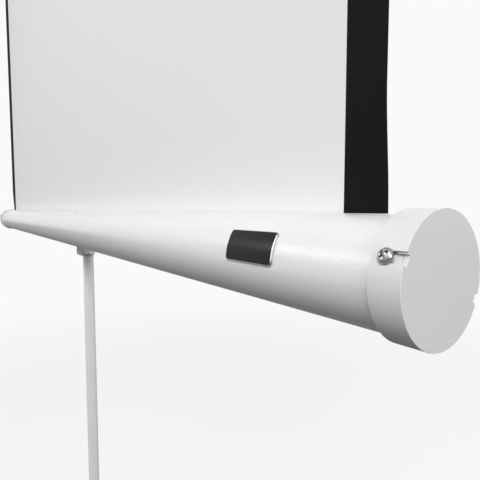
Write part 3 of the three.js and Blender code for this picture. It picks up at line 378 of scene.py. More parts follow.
# Place in space of a drawing's point (u, v) at w along an axis
ALONG = {
    "x": lambda u, v, w: (w, u, v),
    "y": lambda u, v, w: (u, w, v),
    "z": lambda u, v, w: (u, v, w),
}


def skin(rings):
    """Faces between each ring of vertex numbers and the next, where a ring may be a point."""
    count = len(rings[0])
    faces = [dict.fromkeys((ring[i], ring[(i + 1) % count], after[(i + 1) % count], after[i]))
             for ring, after in zip(rings, rings[1:]) for i in range(count)]
    return [tuple(face) for face in faces if len(face) > 2]


def prism(name, outline, low, high, axis="z"):
    """Closed prism over an outline, from one place to another along an axis."""
    count = len(outline)
    vertices = [ALONG[axis](u, v, w) for w in (low, high) for u, v in outline]
    ends = [tuple(range(count)), tuple(range(count, 2 * count))]
    return mesh_object(name, vertices, [ends[0][::-1], ends[1], *skin(ends)])


def round_sides():
    return bpy.context.scene.screen_fittings.round_sides


def turned(name, profile, axis="x", centre=(0, 0), sides=None, hollow=False):
    """Solid of revolution of (along, radius) points, from axis to axis or round a hollow."""
    sides = sides or round_sides()
    vertices, rings = [], []
    for along, radius in profile:
        circle = arc(centre, radius, 0, 2 * HALF_TURN, sides)[:-1 if radius else 1]
        rings.append([len(vertices) + i % len(circle) for i in range(sides)])
        vertices += [ALONG[axis](u, v, along) for u, v in circle]
    return mesh_object(name, vertices, skin(rings + rings[:1] if hollow else rings))


def rod(name, axis, radius, low, high, centre=(0, 0)):
    return turned(name, [(low, 0), (low, radius), (high, radius), (high, 0)], axis, centre)


def rounded_outline(left, right, low, high, corner, steps=8, rows=1):
    """Rounded rectangle, anticlockwise from below, with its upright sides in equal rows."""
    bottom, top = low + corner, high - corner
    rising = [bottom + (top - bottom) * i / rows for i in range(1, rows)]
    return [*arc((right - corner, bottom), corner, -QUARTER_TURN, 0, steps),
            *((right, height) for height in rising),
            *arc((right - corner, top), corner, 0, QUARTER_TURN, steps),
            *arc((left + corner, top), corner, QUARTER_TURN, HALF_TURN, steps),
            *((left, height) for height in reversed(rising)),
            *arc((left + corner, bottom), corner, HALF_TURN, 1.5 * HALF_TURN, steps)]


def applied(piece):
    """New mesh of an object with its modifiers applied."""
    bpy.context.view_layer.update()
    graph = bpy.context.evaluated_depsgraph_get()
    return bpy.data.meshes.new_from_object(piece.evaluated_get(graph))


def modified(piece, kind, inputs={}, **values):
    """Puts one modifier on a piece, applies it and leaves a plain mesh."""
    modifier = piece.modifiers.new(kind, kind)
    for key, value in values.items():
        setattr(modifier, key, value)
    for socket, value in inputs.items():
        modifier[socket] = value
    mesh = applied(piece)
    piece.modifiers.clear()
    piece.data = mesh
    return piece


def combined(piece, others, operation):
    """Joins other solids to a piece or cuts them from it, and removes them."""
    group = bpy.data.collections.new("tools")
    bpy.context.scene.collection.children.link(group)
    for other in others:
        group.objects.link(other)
        bpy.context.scene.collection.objects.unlink(other)
    modified(piece, "BOOLEAN", operation=operation, solver="EXACT", operand_type="COLLECTION",
             collection=group)
    for other in others:
        bpy.data.objects.remove(other)
    bpy.data.collections.remove(group)
    return piece


def cut(piece, *tools):
    return combined(piece, tools, "DIFFERENCE")


def moved(piece, place):
    """Puts a piece in its place by its mesh, so that its object stays at the origin."""
    matrix = place if isinstance(place, Matrix) else Matrix.Translation(place)
    piece.data.transform(matrix)
    if matrix.determinant() < 0:
        piece.data.flip_normals()
    return piece


def smoothed(piece, sharp=40):
    """Merges doubles, shades the piece smooth and keeps edges over the angle crisp."""
    set_normals = piece.data.attributes.get("custom_normal")
    if set_normals:
        piece.data.attributes.remove(set_normals)
    with edited(piece.data) as made:
        bmesh.ops.remove_doubles(made, verts=made.verts, dist=WELD)
        bmesh.ops.dissolve_degenerate(made, edges=made.edges, dist=SLIVER)
    piece.data.polygons.foreach_set("use_smooth", [True] * len(piece.data.polygons))
    piece.data.set_sharp_from_angle(angle=math.radians(sharp))
    return piece


def edged(piece, width, segments=2, sharp=40):
    """Breaks a piece's edges, which catch the light as moulded and pressed edges do."""
    modified(piece, "BEVEL", width=width, segments=segments, limit_method="ANGLE",
             angle_limit=math.radians(sharp), use_clamp_overlap=True)
    return modified(smoothed(piece, sharp), "WEIGHTED_NORMAL", keep_sharp=True)


def fitted(piece, body, slot, *nodes):
    """Gives a finished piece its material and its body, and hides the solids that it stands for."""
    piece.data.materials.clear()
    piece.data.materials.append(material_for(slot))
    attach(piece, body)
    if nodes:
        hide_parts(*nodes)
    return piece


def refined(node, word, body, slot, width, segments=2):
    """Copy of a solid with its edges broken by a width in mm. Its name is the node's, with a
    word after it or before its side or number."""
    stem, _, end = node.rpartition("_")
    name = f"{stem}_{word}_{end}" if end in ("right", "left", "1", "2", "3") else f"{node}_{word}"
    piece = shown(name, frame["nodes"][node].data.copy())
    with edited(piece.data) as made:
        bmesh.ops.remove_doubles(made, verts=made.verts, dist=WELD)
        bmesh.ops.dissolve_limit(made, angle_limit=math.radians(1), verts=made.verts,
                                 edges=made.edges)
    fitted(edged(piece, width * MM, segments), body, slot, node)


# Geometry Nodes that put pieces on seats

def seat_tree(material):
    """Node group that puts a Master on each vertex of the Seats."""
    tree = bpy.data.node_groups.new("pieces_on_seats", "GeometryNodeTree")
    for name, side, kind in (("Seats", "INPUT", "Geometry"), ("Master", "INPUT", "Object"),
                             ("Size", "INPUT", "Float"), ("Pieces", "OUTPUT", "Geometry")):
        tree.interface.new_socket(name, in_out=side, socket_type=f"NodeSocket{kind}")
    source = add_node(tree, "NodeGroupInput")
    points = add_node(tree, "GeometryNodeMeshToPoints")
    master = add_node(tree, "GeometryNodeObjectInfo")
    turn = add_node(tree, "GeometryNodeInputNamedAttribute", data_type="FLOAT_VECTOR",
                    Name="turn")
    place = add_node(tree, "GeometryNodeInstanceOnPoints")
    real = add_node(tree, "GeometryNodeRealizeInstances")
    paint = add_node(tree, "GeometryNodeSetMaterial", Material=material)
    result = add_node(tree, "NodeGroupOutput")
    for giver, given, taker, taken in (
            (source, "Seats", points, "Mesh"),
            (points, "Points", place, "Points"),
            (source, "Master", master, "Object"),
            (master, "Geometry", place, "Instance"),
            (turn, "Attribute", place, "Rotation"),
            (source, "Size", place, "Scale"),
            (place, "Instances", real, "Geometry"),
            (real, "Geometry", paint, "Geometry"),
            (paint, "Geometry", result, "Pieces")):
        link(tree, giver.outputs[given], taker.inputs[taken])
    return tree


def seated(name, master, seats, body, slot, nodes, sharp=40):
    """Copies of a master on seats, each a (place, Euler turn), as one plain mesh."""
    mesh = bpy.data.meshes.new(name)
    mesh.from_pydata([tuple(place) for place, _ in seats], [], [])
    turns = mesh.attributes.new("turn", "FLOAT_VECTOR", "POINT")
    turns.data.foreach_set("vector", [value for _, turn in seats for value in turn])
    piece = shown(name, mesh)
    tree = seat_tree(material_for(slot))
    sockets = {socket.name: socket.identifier for socket in tree.interface.items_tree}
    modified(piece, "NODES", {sockets["Master"]: master, sockets["Size"]: 1.0}, node_group=tree)
    bpy.data.objects.remove(master)
    fitted(smoothed(piece, sharp), body, slot, *nodes)


# The case

def case_section():
    """C section of the case tube in the Y and Z plane, its lips turned in at the sheet slot."""
    case = bpy.context.scene.screen_case
    inner = case.radius - case.wall
    half = case.slot_width / 2
    middle = QUARTER_TURN - case.slot_angle
    outer_half = math.asin(half / case.radius)
    inner_half = math.asin((half + case.wall) / inner)
    depth = case.wall + case.slot_lip
    rim = [math.sqrt(case.radius ** 2 - half ** 2) - depth,
           math.sqrt(case.radius ** 2 - (half + case.wall) ** 2) - depth]

    def lip(across, reach):
        return (math.cos(middle) * reach - math.sin(middle) * across,
                math.sin(middle) * reach + math.cos(middle) * across)

    full = 2 * HALF_TURN
    steps = 2 * round_sides()
    return [*arc((0, 0), case.radius, middle + outer_half, middle - outer_half + full, steps),
            lip(-half, rim[0]), lip(-half - case.wall, rim[1]),
            *arc((0, 0), inner, middle - inner_half + full, middle + inner_half, steps),
            lip(half + case.wall, rim[1]), lip(half, rim[0])]


def end_cap(side, sign):
    """Cap with a closed face, a filleted rim and two open slots in its sleeve."""
    case = bpy.context.scene.screen_case
    face = cap_high.x
    inner = cap_low.x + case.sleeve_gap
    bore = cap_radius - case.cap_wall
    fillet = case.cap_fillet
    rim = arc((face - fillet, cap_radius - fillet), fillet, QUARTER_TURN, 0, 6)
    profile = [(face - case.cap_face, 0), (face - case.cap_face, bore), (inner, bore),
               (inner, cap_radius), *rim, (face, bore - fillet), (face, 0)]
    cap = turned(f"end_cap_{side}_shell", profile, sides=192)
    half_width = case.cap_slot / 2
    end = face + case.cap_face
    middle = face - case.screw_inset
    ledge_start = middle + 1.4 * half_width
    back = arc((middle, 0), half_width, QUARTER_TURN, 1.5 * HALF_TURN, 16)
    slots = []
    for half in (0, HALF_TURN):
        direction = Matrix.Rotation(QUARTER_TURN - case.screw_angle + half, 4, "X")
        # The slot is narrower below the ledge, which is half way down the sleeve's wall.
        for floor, start, ledge in ((case.radius, ledge_start, case.slot_ledge),
                                    (cap_radius - case.cap_wall / 2, middle, 0)):
            outline = [*back, (end, -half_width), (end, half_width - ledge),
                       (start, half_width - ledge), (start, half_width)]
            slot = prism("slot", outline, floor, cap_radius + case.cap_wall)
            slots.append(moved(slot, direction))
    place = Matrix.Translation(case_axis) @ Matrix.Diagonal((sign, 1, 1, 1))
    return edged(moved(cut(cap, *slots), place), 0.15 * MM)


class SCREEN_OT_case(bpy.types.Operator):
    """Make the case tube and its end caps"""
    bl_idname = "projector_screen.case"
    bl_label = "Case and end caps"

    def execute(self, context):
        tube = prism("case_tube_shell", case_section(), tube_low.x, tube_high.x, "x")
        edged(tube, 0.2 * MM)
        fitted(moved(tube, case_axis), "case", "case_paint", "case_tube")
        for side, sign in SIDES:
            fitted(end_cap(side, sign), "case", "cap_paint", f"end_cap_{side}")
        return {"FINISHED"}


def pan_head_screw():
    """Pan head with a cross recess whose walls taper, its axis along +Y."""
    head_radius, head_height, rim = 4.1 * MM, 2.6 * MM, 0.52 * MM
    shank_radius, shank_length = 2 * MM, 7.4 * MM
    dome = [(head_height * math.sin(a), head_radius * math.sqrt(math.cos(a)))
            for a in (math.radians(d) for d in range(27, 88, 15))]
    profile = [(-shank_length, 0), (-shank_length, shank_radius), (0, shank_radius),
               (0, head_radius), (rim, head_radius), *dome, (head_height, 0)]
    screw = turned("screw_master", profile, "y", sides=48)
    top, floor = 3 * MM, 0.8 * MM
    wide, narrow, half_width = 3.1 * MM, 1.7 * MM, 0.8 * MM
    outline = [(-wide, top), (wide, top), (narrow, floor), (-narrow, floor)]
    tools = [moved(prism("wing", outline, -half_width, half_width),
                   Matrix.Rotation(turn, 4, "Y")) for turn in (HALF_TURN / 4, 0.75 * HALF_TURN)]
    return edged(cut(screw, *tools), 0.12 * MM, sharp=30)


class SCREEN_OT_cap_screws(bpy.types.Operator):
    """Put the pan head screws in the slots of the end caps"""
    bl_idname = "projector_screen.cap_screws"
    bl_label = "Cap screws"

    def execute(self, context):
        case = context.scene.screen_case
        seat = cap_radius + 0.3 * MM
        reach = cap_high.x - case.screw_inset
        seats = []
        for _, sign in SIDES:
            for half in (0, HALF_TURN):
                direction = HALF_TURN - case.screw_angle + half
                place = case_axis + Vector((sign * reach, seat * math.cos(direction),
                                            seat * math.sin(direction)))
                seats.append((place, Euler((direction, 0, 0))))
        nodes = [f"cap_screw_{side}_{place}" for side, _ in SIDES for place in ("front", "back")]
        seated("cap_screws", pan_head_screw(), seats, "case", "chrome", nodes, 30)
        return {"FINISHED"}


def ringed(name, rings, filled):
    """Skin over rounded rectangles bent round the tube, filled or closed to a ring."""
    badge = bpy.context.scene.screen_badge
    base = bpy.context.scene.screen_case.radius + 0.3 * MM
    middle = cap_high.x - badge.inset - badge.length / 2
    vertices, loops = [], []
    for inset, rise in rings:
        corner = max(badge.corner - inset, 0.3 * MM)
        half_length, half_height = badge.length / 2 - inset, badge.height / 2 - inset
        loop = rounded_outline(-half_length, half_length, -half_height, half_height, corner,
                               rows=14)
        loops.append([len(vertices) + i for i in range(len(loop))])
        radius = base + rise
        for across, up in loop:
            turn = badge.angle + up / base
            vertices.append((middle + across, -radius * math.cos(turn),
                             radius * math.sin(turn)))
    faces = skin(loops if filled else loops + loops[:1])
    half = len(loops[0]) // 2
    for loop in (loops[0], loops[-1]) if filled else ():
        right, left = loop[:half], loop[half:][::-1]
        faces += [(right[i], right[i + 1], left[i + 1], left[i]) for i in range(half - 1)]
    return mesh_object(name, vertices, faces)


class SCREEN_OT_badge(bpy.types.Operator):
    """Make the bare domed plate and its bright rim"""
    bl_idname = "projector_screen.badge"
    bl_label = "Bare badge plate"

    def execute(self, context):
        badge = context.scene.screen_badge
        rim, thick = badge.rim, badge.thickness
        slope = 0.25 * thick
        gap = 0.02 * MM
        # Rings from the tube up over the edge, each an inset and a height above the tube
        rim_rings = [(0, 0), (slope * 0.6, thick * 0.8), (slope, thick * 0.93),
                     (slope + rim * 0.4, thick), (slope + rim, thick * 0.97), (slope + rim, 0)]
        start = slope + rim + gap
        plate_rings = [(start, 0), (start, thick * 0.93)] + [
            (start + inset * MM, thick + rise * MM)
            for inset, rise in ((0.3, 0), (0.9, 0.04), (2.2, 0.06))]
        ring = smoothed(ringed("badge_rim", rim_rings, False), 50)
        plate = smoothed(ringed("badge_dome", plate_rings, True), 50)
        fitted(moved(ring, case_axis), "case", "chrome")
        fitted(moved(plate, case_axis), "case", "bare_badge", "badge_plate")
        return {"FINISHED"}


# The sheet

def cloth_grid(name, strips, step):
    """Cloth from rectangles (left, right, low, high) that share their edges, as one mesh."""
    mesh = bpy.data.meshes.new(name)
    with edited(mesh) as made:
        for left, right, low, high in strips:
            columns = max(1, round((right - left) / step))
            rows = max(1, round((high - low) / step))
            grid = [[made.verts.new((left + (right - left) * i / columns, sheet_plane,
                                     low + (high - low) * k / rows))
                     for i in range(columns + 1)] for k in range(rows + 1)]
            for k in range(rows):
                for i in range(columns):
                    made.faces.new((grid[k][i], grid[k][i + 1],
                                    grid[k + 1][i + 1], grid[k + 1][i]))
        bmesh.ops.remove_doubles(made, verts=made.verts, dist=2 * WELD)
    piece = shown(name, mesh)
    modified(piece, "SOLIDIFY", thickness=bpy.context.scene.screen_sheet.thickness, offset=0)
    return smoothed(piece, 50)


def eased(share):
    share = min(max(share, 0), 1)
    return share * share * (3 - 2 * share)


def curled(border):
    """Bows the free side edges forward between the case and the top bar, as loose cloth does."""
    sheet = bpy.context.scene.screen_sheet
    fall = 4 * sheet.curl_rise
    entry = 18 * MM
    edge_share = 1.4
    for vertex in border.data.vertices:
        across = max(0, (abs(vertex.co.x) - sheet_high.x) / (border_high.x - sheet_high.x))
        rise = vertex.co.z - tube_high.z
        mouth = sheet.mouth * eased(1 + rise / entry) if vertex.co.x < 0 else 0
        up = ((mouth + (1 - mouth) * eased(rise / sheet.curl_rise))
              * eased((bar_low.z - vertex.co.z) / fall))
        vertex.co.y -= sheet.curl * across ** edge_share * up


class SCREEN_OT_sheet(bpy.types.Operator):
    """Make the white viewing field and the black border of the sheet"""
    bl_idname = "projector_screen.sheet"
    bl_label = "Sheet and border"

    def execute(self, context):
        field_step, border_step = 40 * MM, 8 * MM
        seam = 0.03 * MM
        mouth = tube_high.z - 0.2 * MM
        left, right, top = sheet_low.x - seam, sheet_high.x + seam, sheet_high.z + seam
        field = cloth_grid("viewing_field", [
            (sheet_low.x, sheet_high.x, sheet_low.z, sheet_high.z)], field_step)
        border = cloth_grid("masking_border", [
            (border_low.x, left, mouth, top), (right, border_high.x, mouth, top),
            (border_low.x, left, top, border_high.z), (left, right, top, border_high.z),
            (right, border_high.x, top, border_high.z)], border_step)
        tails = cloth_grid("border_tails", [
            (border_low.x, left, sheet_low.z, mouth - seam),
            (right, border_high.x, sheet_low.z, mouth - seam)], border_step)
        curled(border)
        curled(tails)
        fitted(field, "case", "screen_white", "screen_sheet")
        fitted(border, "screen_bar", "screen_black", "screen_border")
        fitted(tails, "case", "screen_black")

        # How much of the border and of the field would stay at the full pull is worked out here but
        # not used: each piece just gets its own mesh.
        travel = -joints["screen_pull"]["range_m"][0]
        border_keep = 1 - travel / (bar_low.z - mouth)
        rolled_top = bar_low.z - travel - (bar_low.z - top) * border_keep - seam
        field_keep = (rolled_top - case_axis.z) / (sheet_high.z - case_axis.z)
        for piece, height, keep in ((field, case_axis.z, field_keep),
                                    (border, bar_low.z, border_keep)):
            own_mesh(piece)
        return {"FINISHED"}


# Poles

class SCREEN_OT_poles(bpy.types.Operator):
    """Make the outer pole and the mast"""
    bl_idname = "projector_screen.poles"
    bl_label = "Pole and mast"

    def execute(self, context):
        lip = 0.25 * MM
        for node, name, body, slot, wall in (
                ("outer_pole", "outer_pole_tube", "stand", "pole_paint", 1.1 * MM),
                ("mast", "mast_tube", "mast", "aluminium", 1.0 * MM)):
            low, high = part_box(node)
            radius = (high.x - low.x) / 2
            section = [(low.z, radius - lip), (low.z + lip, radius), (high.z - lip, radius),
                       (high.z, radius - lip), (high.z, radius - wall), (low.z, radius - wall)]
            tube = turned(name, section, "z", pole_axis, hollow=True)
            fitted(smoothed(tube), body, slot, node)
        return {"FINISHED"}


# Carriage, saddle and pivot

def carriage_body():
    """Moulded carriage: flat front, arched back, boss for its knob, bore for the pole."""
    low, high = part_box("carriage")
    half = high.x
    boss_height, boss_radius = 6 * MM, 8 * MM
    corner, end_corner, play = 3 * MM, 7 * MM, 0.3 * MM
    pocket_depth, pocket_radius, bolt_hole = 2.4 * MM, 9.8 * MM, 4.3 * MM
    pin_hole, stud_hole = 2.1 * MM, 3.3 * MM
    back = high.y - boss_height
    arch_start = low.y + 10 * MM
    rise = back - arch_start
    radius = (half ** 2 + rise ** 2) / (2 * rise)
    middle = back - radius
    end = math.atan2(arch_start - middle, half)
    outline = [*arc((half - corner, low.y + corner), corner, -QUARTER_TURN, 0, 8),
               *arc((0, middle), radius, end, HALF_TURN - end, round_sides() // 2),
               *arc((-half + corner, low.y + corner), corner, HALF_TURN, 1.5 * HALF_TURN, 8)]
    body = prism("carriage_moulding", outline, low.z, high.z)
    ends = prism("ends", rounded_outline(-half, half, low.z, high.z, end_corner, 10),
                 low.y - corner, high.y + corner, "y")
    combined(body, [ends], "INTERSECT")
    bolt = (0, case_axis.z)
    boss = rod("boss", "y", boss_radius, pole_axis.y, high.y, bolt)
    combined(body, [boss], "UNION")
    pin_low, pin_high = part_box("stop_pin")
    pin = ((pin_low.x + pin_high.x) / 2, (pin_low.z + pin_high.z) / 2)
    before, behind = low.y - boss_height, high.y + boss_height
    return cut(body,
               rod("bore", "z", pole_radius + play, low.z - boss_height, high.z + boss_height,
                   pole_axis),
               rod("pocket", "y", pocket_radius, low.y + pocket_depth, pole_axis.y, bolt),
               rod("hole", "y", bolt_hole, before, pole_axis.y, bolt),
               rod("pin_hole", "y", pin_hole, before, pin_high.y + play, pin),
               rod("stud_hole", "y", stud_hole, pole_axis.y, behind, bolt))


class SCREEN_OT_carriage(bpy.types.Operator):
    """Make the sliding carriage, its knob and the saddle that carries the case"""
    bl_idname = "projector_screen.carriage"
    bl_label = "Carriage and saddle"

    def execute(self, context):
        fitted(edged(carriage_body(), 1.0 * MM, 4), "carriage", "grey_plastic", "carriage")
        for row in (
                ("carriage_knob", "grip", "carriage_knob", "black_plastic", 1.8, 4),
                ("stop_pin", "steel", "carriage", "zinc_steel", 0.3),
                ("saddle", "moulding", "case", "grey_plastic", 0.8, 3),
                ("pivot_bolt", "steel", "case", "zinc_steel", 0.3),
                ("pivot_nut", "steel", "case", "zinc_steel", 0.4)):
            refined(*row)
        return {"FINISHED"}


# Roller

class SCREEN_OT_roller(bpy.types.Operator):
    """Make the roller, what is wound on it and the spring and plugs that carry it"""
    bl_idname = "projector_screen.roller"
    bl_label = "Roller and spring"

    def execute(self, context):
        for node, name, slot, wall in (
                ("roller_tube", "roller_drawn_tube", "roller_aluminium", 1.2 * MM),
                ("wound_sheet", "wound_cloth", "screen_white", 0.8 * MM)):
            low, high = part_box(node)
            radius = (high.z - low.z) / 2
            centre = ((low.y + high.y) / 2, (low.z + high.z) / 2)
            section = [(low.x, radius), (high.x, radius), (high.x, radius - wall),
                       (low.x, radius - wall)]
            tube = turned(name, section, "x", centre, hollow=True)
            fitted(smoothed(tube), "roller", slot, node)
        for row in (
                ("idler_plug", "moulding", "roller", "black_plastic", 0.4),
                ("spring_plug", "moulding", "roller", "black_plastic", 0.4),
                ("spring_arbor", "steel", "case", "zinc_steel", 0.2),
                ("roller_spring", "coil", "case", "zinc_steel", 0.1)):
            refined(*row)
        for side, _ in SIDES:
            refined(f"roller_bracket_{side}", "steel", "case", "zinc_steel", 0.3)
        return {"FINISHED"}


# Top bar and bail

def wire(name, points, radius):
    """Round wire along a path, as a closed mesh."""
    data = bpy.data.curves.new(name, "CURVE")
    data.dimensions = "3D"
    data.bevel_depth = radius
    data.bevel_resolution = 6
    data.use_fill_caps = True
    spline = data.splines.new("POLY")
    spline.points.add(len(points) - 1)
    for point, place in zip(spline.points, points):
        point.co = (*place, 1)
    route = shown("route", data)
    mesh = applied(route)
    bpy.data.objects.remove(route)
    return smoothed(shown(name, mesh), 50)


def bent(points, radius, steps=10):
    """Path with its corners rounded by the given radius."""
    path = [Vector(points[0])]
    for before, here, after in zip(points, points[1:], points[2:]):
        here = Vector(here)
        start = here + (Vector(before) - here).normalized() * radius
        end = here + (Vector(after) - here).normalized() * radius
        path += [start.lerp(here, i / steps).lerp(here.lerp(end, i / steps), i / steps)
                 for i in range(steps + 1)]
    return [*path, Vector(points[-1])]


class SCREEN_OT_top_bar(bpy.types.Operator):
    """Make the bar at the top of the sheet and the bail that hangs on the hook arm"""
    bl_idname = "projector_screen.top_bar"
    bl_label = "Top bar and bail"

    def execute(self, context):
        refined("top_bar", "profile", "screen_bar", "case_paint", 0.5, 3)
        for side, _ in SIDES:
            refined(f"bar_cap_{side}", "moulding", "screen_bar", "black_plastic", 1.0, 3)
        refined("bail_bracket", "steel", "screen_bar", "zinc_steel", 0.3)
        low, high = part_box("bail")
        pivot = Vector(joints["bail_swing"]["pos_m"])
        radius, bend, foot, top, reach = 1.6 * MM, 6 * MM, 23 * MM, 22 * MM, 60 * MM
        lean = math.acos(min(1.0, (high.z - radius - pivot.z) / reach))
        corners = [(low.x, 0, 0), (-foot, 0, 0), (-top, 0, reach), (top, 0, reach),
                   (foot, 0, 0), (high.x, 0, 0)]
        bail = wire("bail_wire", bent(corners, bend), radius)
        moved(bail, Matrix.Translation(pivot) @ Matrix.Rotation(-lean, 4, "X"))
        fitted(bail, "bail", "chrome", "bail")
        return {"FINISHED"}


# Fittings of the pole and the mast

class SCREEN_OT_mast_fittings(bpy.types.Operator):
    """Make the clamp, the head and the hook arm of the mast"""
    bl_idname = "projector_screen.mast_fittings"
    bl_label = "Clamp, head and hook arm"

    def execute(self, context):
        for row in (
                ("pole_plug", "moulding", "stand", "black_plastic", 0.8, 3),
                ("mast_clamp", "moulding", "stand", "grey_plastic", 0.9, 3),
                ("clamp_bolt", "steel", "stand", "zinc_steel", 0.3),
                ("clamp_lever", "moulding", "clamp_lever", "black_plastic", 0.9, 3),
                ("mast_bush", "moulding", "mast", "black_plastic", 0.2),
                ("mast_head", "moulding", "mast", "grey_plastic", 0.8, 3),
                ("arm_pin", "steel", "mast", "zinc_steel", 0.3),
                ("hook_arm", "steel", "arm", "zinc_steel", 0.5)):
            refined(*row)
        return {"FINISHED"}


# Tripod

def rivet(half, shank, head, rise):
    """Rivet along X with a domed head on each end."""
    dome = [(half + rise * math.sin(a), head * math.cos(a))
            for a in (math.radians(d) for d in (0, 20, 40, 60, 78))]
    right = [(half, shank), *dome]
    left = [(-along, radius) for along, radius in reversed(right)]
    profile = [(-half - rise, 0), *left, *right, (half + rise, 0)]
    return smoothed(turned("rivet_master", profile, sides=32))


def pin_seat(node):
    low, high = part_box(node)
    place = (low + high) / 2
    turn = math.atan2(place.y - pole_axis.y, place.x - pole_axis.x) - QUARTER_TURN
    return place, Euler((0, 0, turn))


class SCREEN_OT_tripod(bpy.types.Operator):
    """Make the hub, the sliding collar, the legs, the braces and the feet"""
    bl_idname = "projector_screen.tripod"
    bl_label = "Tripod"

    def execute(self, context):
        for row in (
                ("base_hub", "moulding", "stand", "grey_plastic", 0.8, 3),
                ("leg_collar", "moulding", "collar", "grey_plastic", 0.8, 3),
                ("collar_knob", "grip", "collar_knob", "black_plastic", 1.2, 4)):
            refined(*row)
        for number in (1, 2, 3):
            leg, brace = f"leg_{number}", f"brace_{number}"
            refined(leg, "channel", leg, "pole_paint", 0.7, 3)
            refined(f"foot_{number}", "boot", leg, "rubber", 1.4, 4)
            refined(brace, "channel", brace, "zinc_steel", 0.5)
        self.make_rivets("collar_rivets", "collar", "collar_pin", (1, 2, 3))
        self.make_rivets("hub_rivets", "stand", "hub_pin", (1, 2, 3))
        for number in (1, 2, 3):
            self.make_rivets(f"knee_rivet_{number}", f"leg_{number}", "knee_pin", (number,))
        return {"FINISHED"}

    def make_rivets(self, name, body, pin, numbers):
        low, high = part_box(f"{pin}_1")
        shank, rise = 2.3 * MM, 0.9 * MM
        master = rivet((high.x - low.x) / 2 - rise, shank, (high.z - low.z) / 2, rise)
        nodes = [f"{pin}_{number}" for number in numbers]
        seated(name, master, [pin_seat(node) for node in nodes], body, "zinc_steel", nodes)


# The stage

def ray_kinds(tree, mirrored=1):
    """1 for what the camera and passing rays see, a share for mirrored rays, 0 for light."""
    rays = add_node(tree, "ShaderNodeLightPath").outputs
    part = calculated(tree, "MULTIPLY", rays["Is Glossy Ray"], mirrored)
    either = calculated(tree, "MAXIMUM", rays["Is Camera Ray"], part)
    return calculated(tree, "MAXIMUM", either, rays["Is Transmission Ray"])


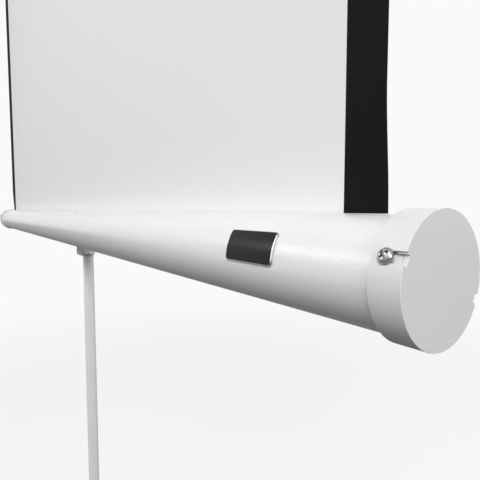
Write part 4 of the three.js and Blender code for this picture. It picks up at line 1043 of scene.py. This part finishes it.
class SCREEN_OT_stage(bpy.types.Operator):
    """Make the pale floor, the soft light and the camera"""
    bl_idname = "projector_screen.stage"
    bl_label = "Floor, light and camera"

    def execute(self, context):
        stage = context.scene.screen_stage
        self.make_world(stage)
        self.make_floor(stage)
        self.make_lights(stage)
        self.make_camera(stage)
        context.scene.view_settings.view_transform = "Standard"
        return {"FINISHED"}

    def make_world(self, stage):
        world = bpy.data.worlds.new("studio")
        world.use_nodes = True
        tree = world.node_tree
        room = tree.nodes["Background"]
        room.inputs["Color"].default_value = (1, 1, 1, 1)
        room.inputs["Strength"].default_value = stage.ambient
        seen = add_node(tree, "ShaderNodeBackground", Color=stage.backdrop)
        self.mix_shaders(tree, ray_kinds(tree), room, seen, "World Output")
        bpy.context.scene.world = world

    def make_floor(self, stage):
        half = 30
        near, near_share, mirrored = 1, 0.82, 0.25
        floor = mesh_object("floor", [(-half, -half, 0), (half, -half, 0), (half, half, 0),
                                      (-half, half, 0)], [(0, 1, 2, 3)])
        material, tree, lit = new_material("pale_floor", Roughness=0.9, Specular_IOR_Level=0)
        seen = ray_kinds(tree, mirrored)
        link(tree, mixed(tree, seen, stage.bounce, stage.floor), lit.inputs["Base Color"])
        reach = add_node(tree, "ShaderNodeVectorMath", operation="LENGTH")
        link(tree, object_place(tree), reach.inputs[0])
        share = ranged(tree, reach.outputs["Value"], near_share, 1, From_Min=near,
                       From_Max=stage.sweep, interpolation_type="SMOOTHSTEP")
        white = add_node(tree, "ShaderNodeEmission", Color=stage.backdrop)
        self.mix_shaders(tree, calculated(tree, "MULTIPLY", seen, share), lit, white,
                         "Material Output")
        floor.data.materials.append(material)

    def mix_shaders(self, tree, factor, first, second, output):
        mix = add_node(tree, "ShaderNodeMixShader")
        for source, target in (
                (factor, mix.inputs[0]), (first.outputs[0], mix.inputs[1]),
                (second.outputs[0], mix.inputs[2]),
                (mix.outputs[0], tree.nodes[output].inputs["Surface"])):
            link(tree, source, target)

    def make_lights(self, stage):
        end = Vector((0.55, case_axis.y, case_axis.z))
        screen = Vector((0, case_axis.y, (case_axis.z + bar_high.z) / 2))
        far_end = Vector((-0.5, case_axis.y, case_axis.z))
        above = Vector((0.1, case_axis.y, 1.2))
        # Name, place, width and height, power, aim and spread in degrees
        for name, place, size, energy, aim, spread in (
                ("key", (-1.3, -2.22, 2.2), (1.0, 0.5), stage.key_power, end, 180),
                ("low", (-1.5, -2.1, 0.7), (1.2, 0.8), stage.low_power, far_end, 80),
                ("back", (0.6, 2.4, 2.3), (1.8, 1.6), stage.back_power, screen, 180),
                ("side", (1.4, -2.05, 3.1), (1.4, 1.2), stage.side_power, end, 180),
                ("far_side", (2.4, -2.1, 3.1), (1.4, 1.2), stage.far_side_power, end, 180),
                ("fill", (3.0, -0.7, 1.5), (1.4, 1.2), stage.fill_power, end, 180),
                ("top", (0.2, -0.9, 3.9), (2.4, 1.8), stage.top_power, above, 180)):
            data = bpy.data.lights.new(name, "AREA")
            data.shape = "RECTANGLE"
            data.size, data.size_y = size
            data.energy = energy
            data.spread = math.radians(spread)
            lamp = shown(name, data)
            lamp.location = place
            lamp.rotation_euler = (aim - lamp.location).to_track_quat("-Z", "Y").to_euler()

    def make_camera(self, stage):
        data = bpy.data.cameras.new("camera")
        data.lens = stage.lens
        data.clip_start = 20 * MM
        camera = shown("camera", data)
        from_case = Vector((0.9414, -0.1978, 0.0348))
        camera.location = case_axis + from_case
        forward = Vector((-math.cos(stage.yaw) * math.cos(stage.pitch),
                          math.sin(stage.yaw) * math.cos(stage.pitch), -math.sin(stage.pitch)))
        camera.rotation_euler = forward.to_track_quat("-Z", "Y").to_euler()
        bpy.context.scene.camera = camera


PIECES = (SCREEN_OT_stage, SCREEN_OT_case, SCREEN_OT_cap_screws, SCREEN_OT_badge,
          SCREEN_OT_sheet, SCREEN_OT_top_bar, SCREEN_OT_roller, SCREEN_OT_poles,
          SCREEN_OT_carriage, SCREEN_OT_mast_fittings, SCREEN_OT_tripod)


class SCREEN_PT_panel(bpy.types.Panel):
    """Pieces and sizes of the screen"""
    bl_idname = "SCREEN_PT_panel"
    bl_label = "Projector screen"
    bl_space_type = "VIEW_3D"
    bl_region_type = "UI"
    bl_category = "Projector screen"

    def draw(self, context):
        for piece in PIECES:
            self.layout.operator(piece.bl_idname)
        for name, group in SETTINGS.items():
            box = self.layout.box()
            for key in group.__annotations__:
                box.prop(getattr(context.scene, name), key)


CLASSES = (*SETTINGS.values(), *PIECES, SCREEN_PT_panel)


def register():
    for item in CLASSES:
        bpy.utils.register_class(item)
    for name, group in SETTINGS.items():
        setattr(bpy.types.Scene, name, PointerProperty(type=group))


def unregister():
    for name in SETTINGS:
        delattr(bpy.types.Scene, name)
    for item in reversed(CLASSES):
        bpy.utils.unregister_class(item)


def main():
    register()
    for piece in PIECES:
        family, name = piece.bl_idname.split(".")
        getattr(getattr(bpy.ops, family), name)()


if __name__ == "__main__":
    main()
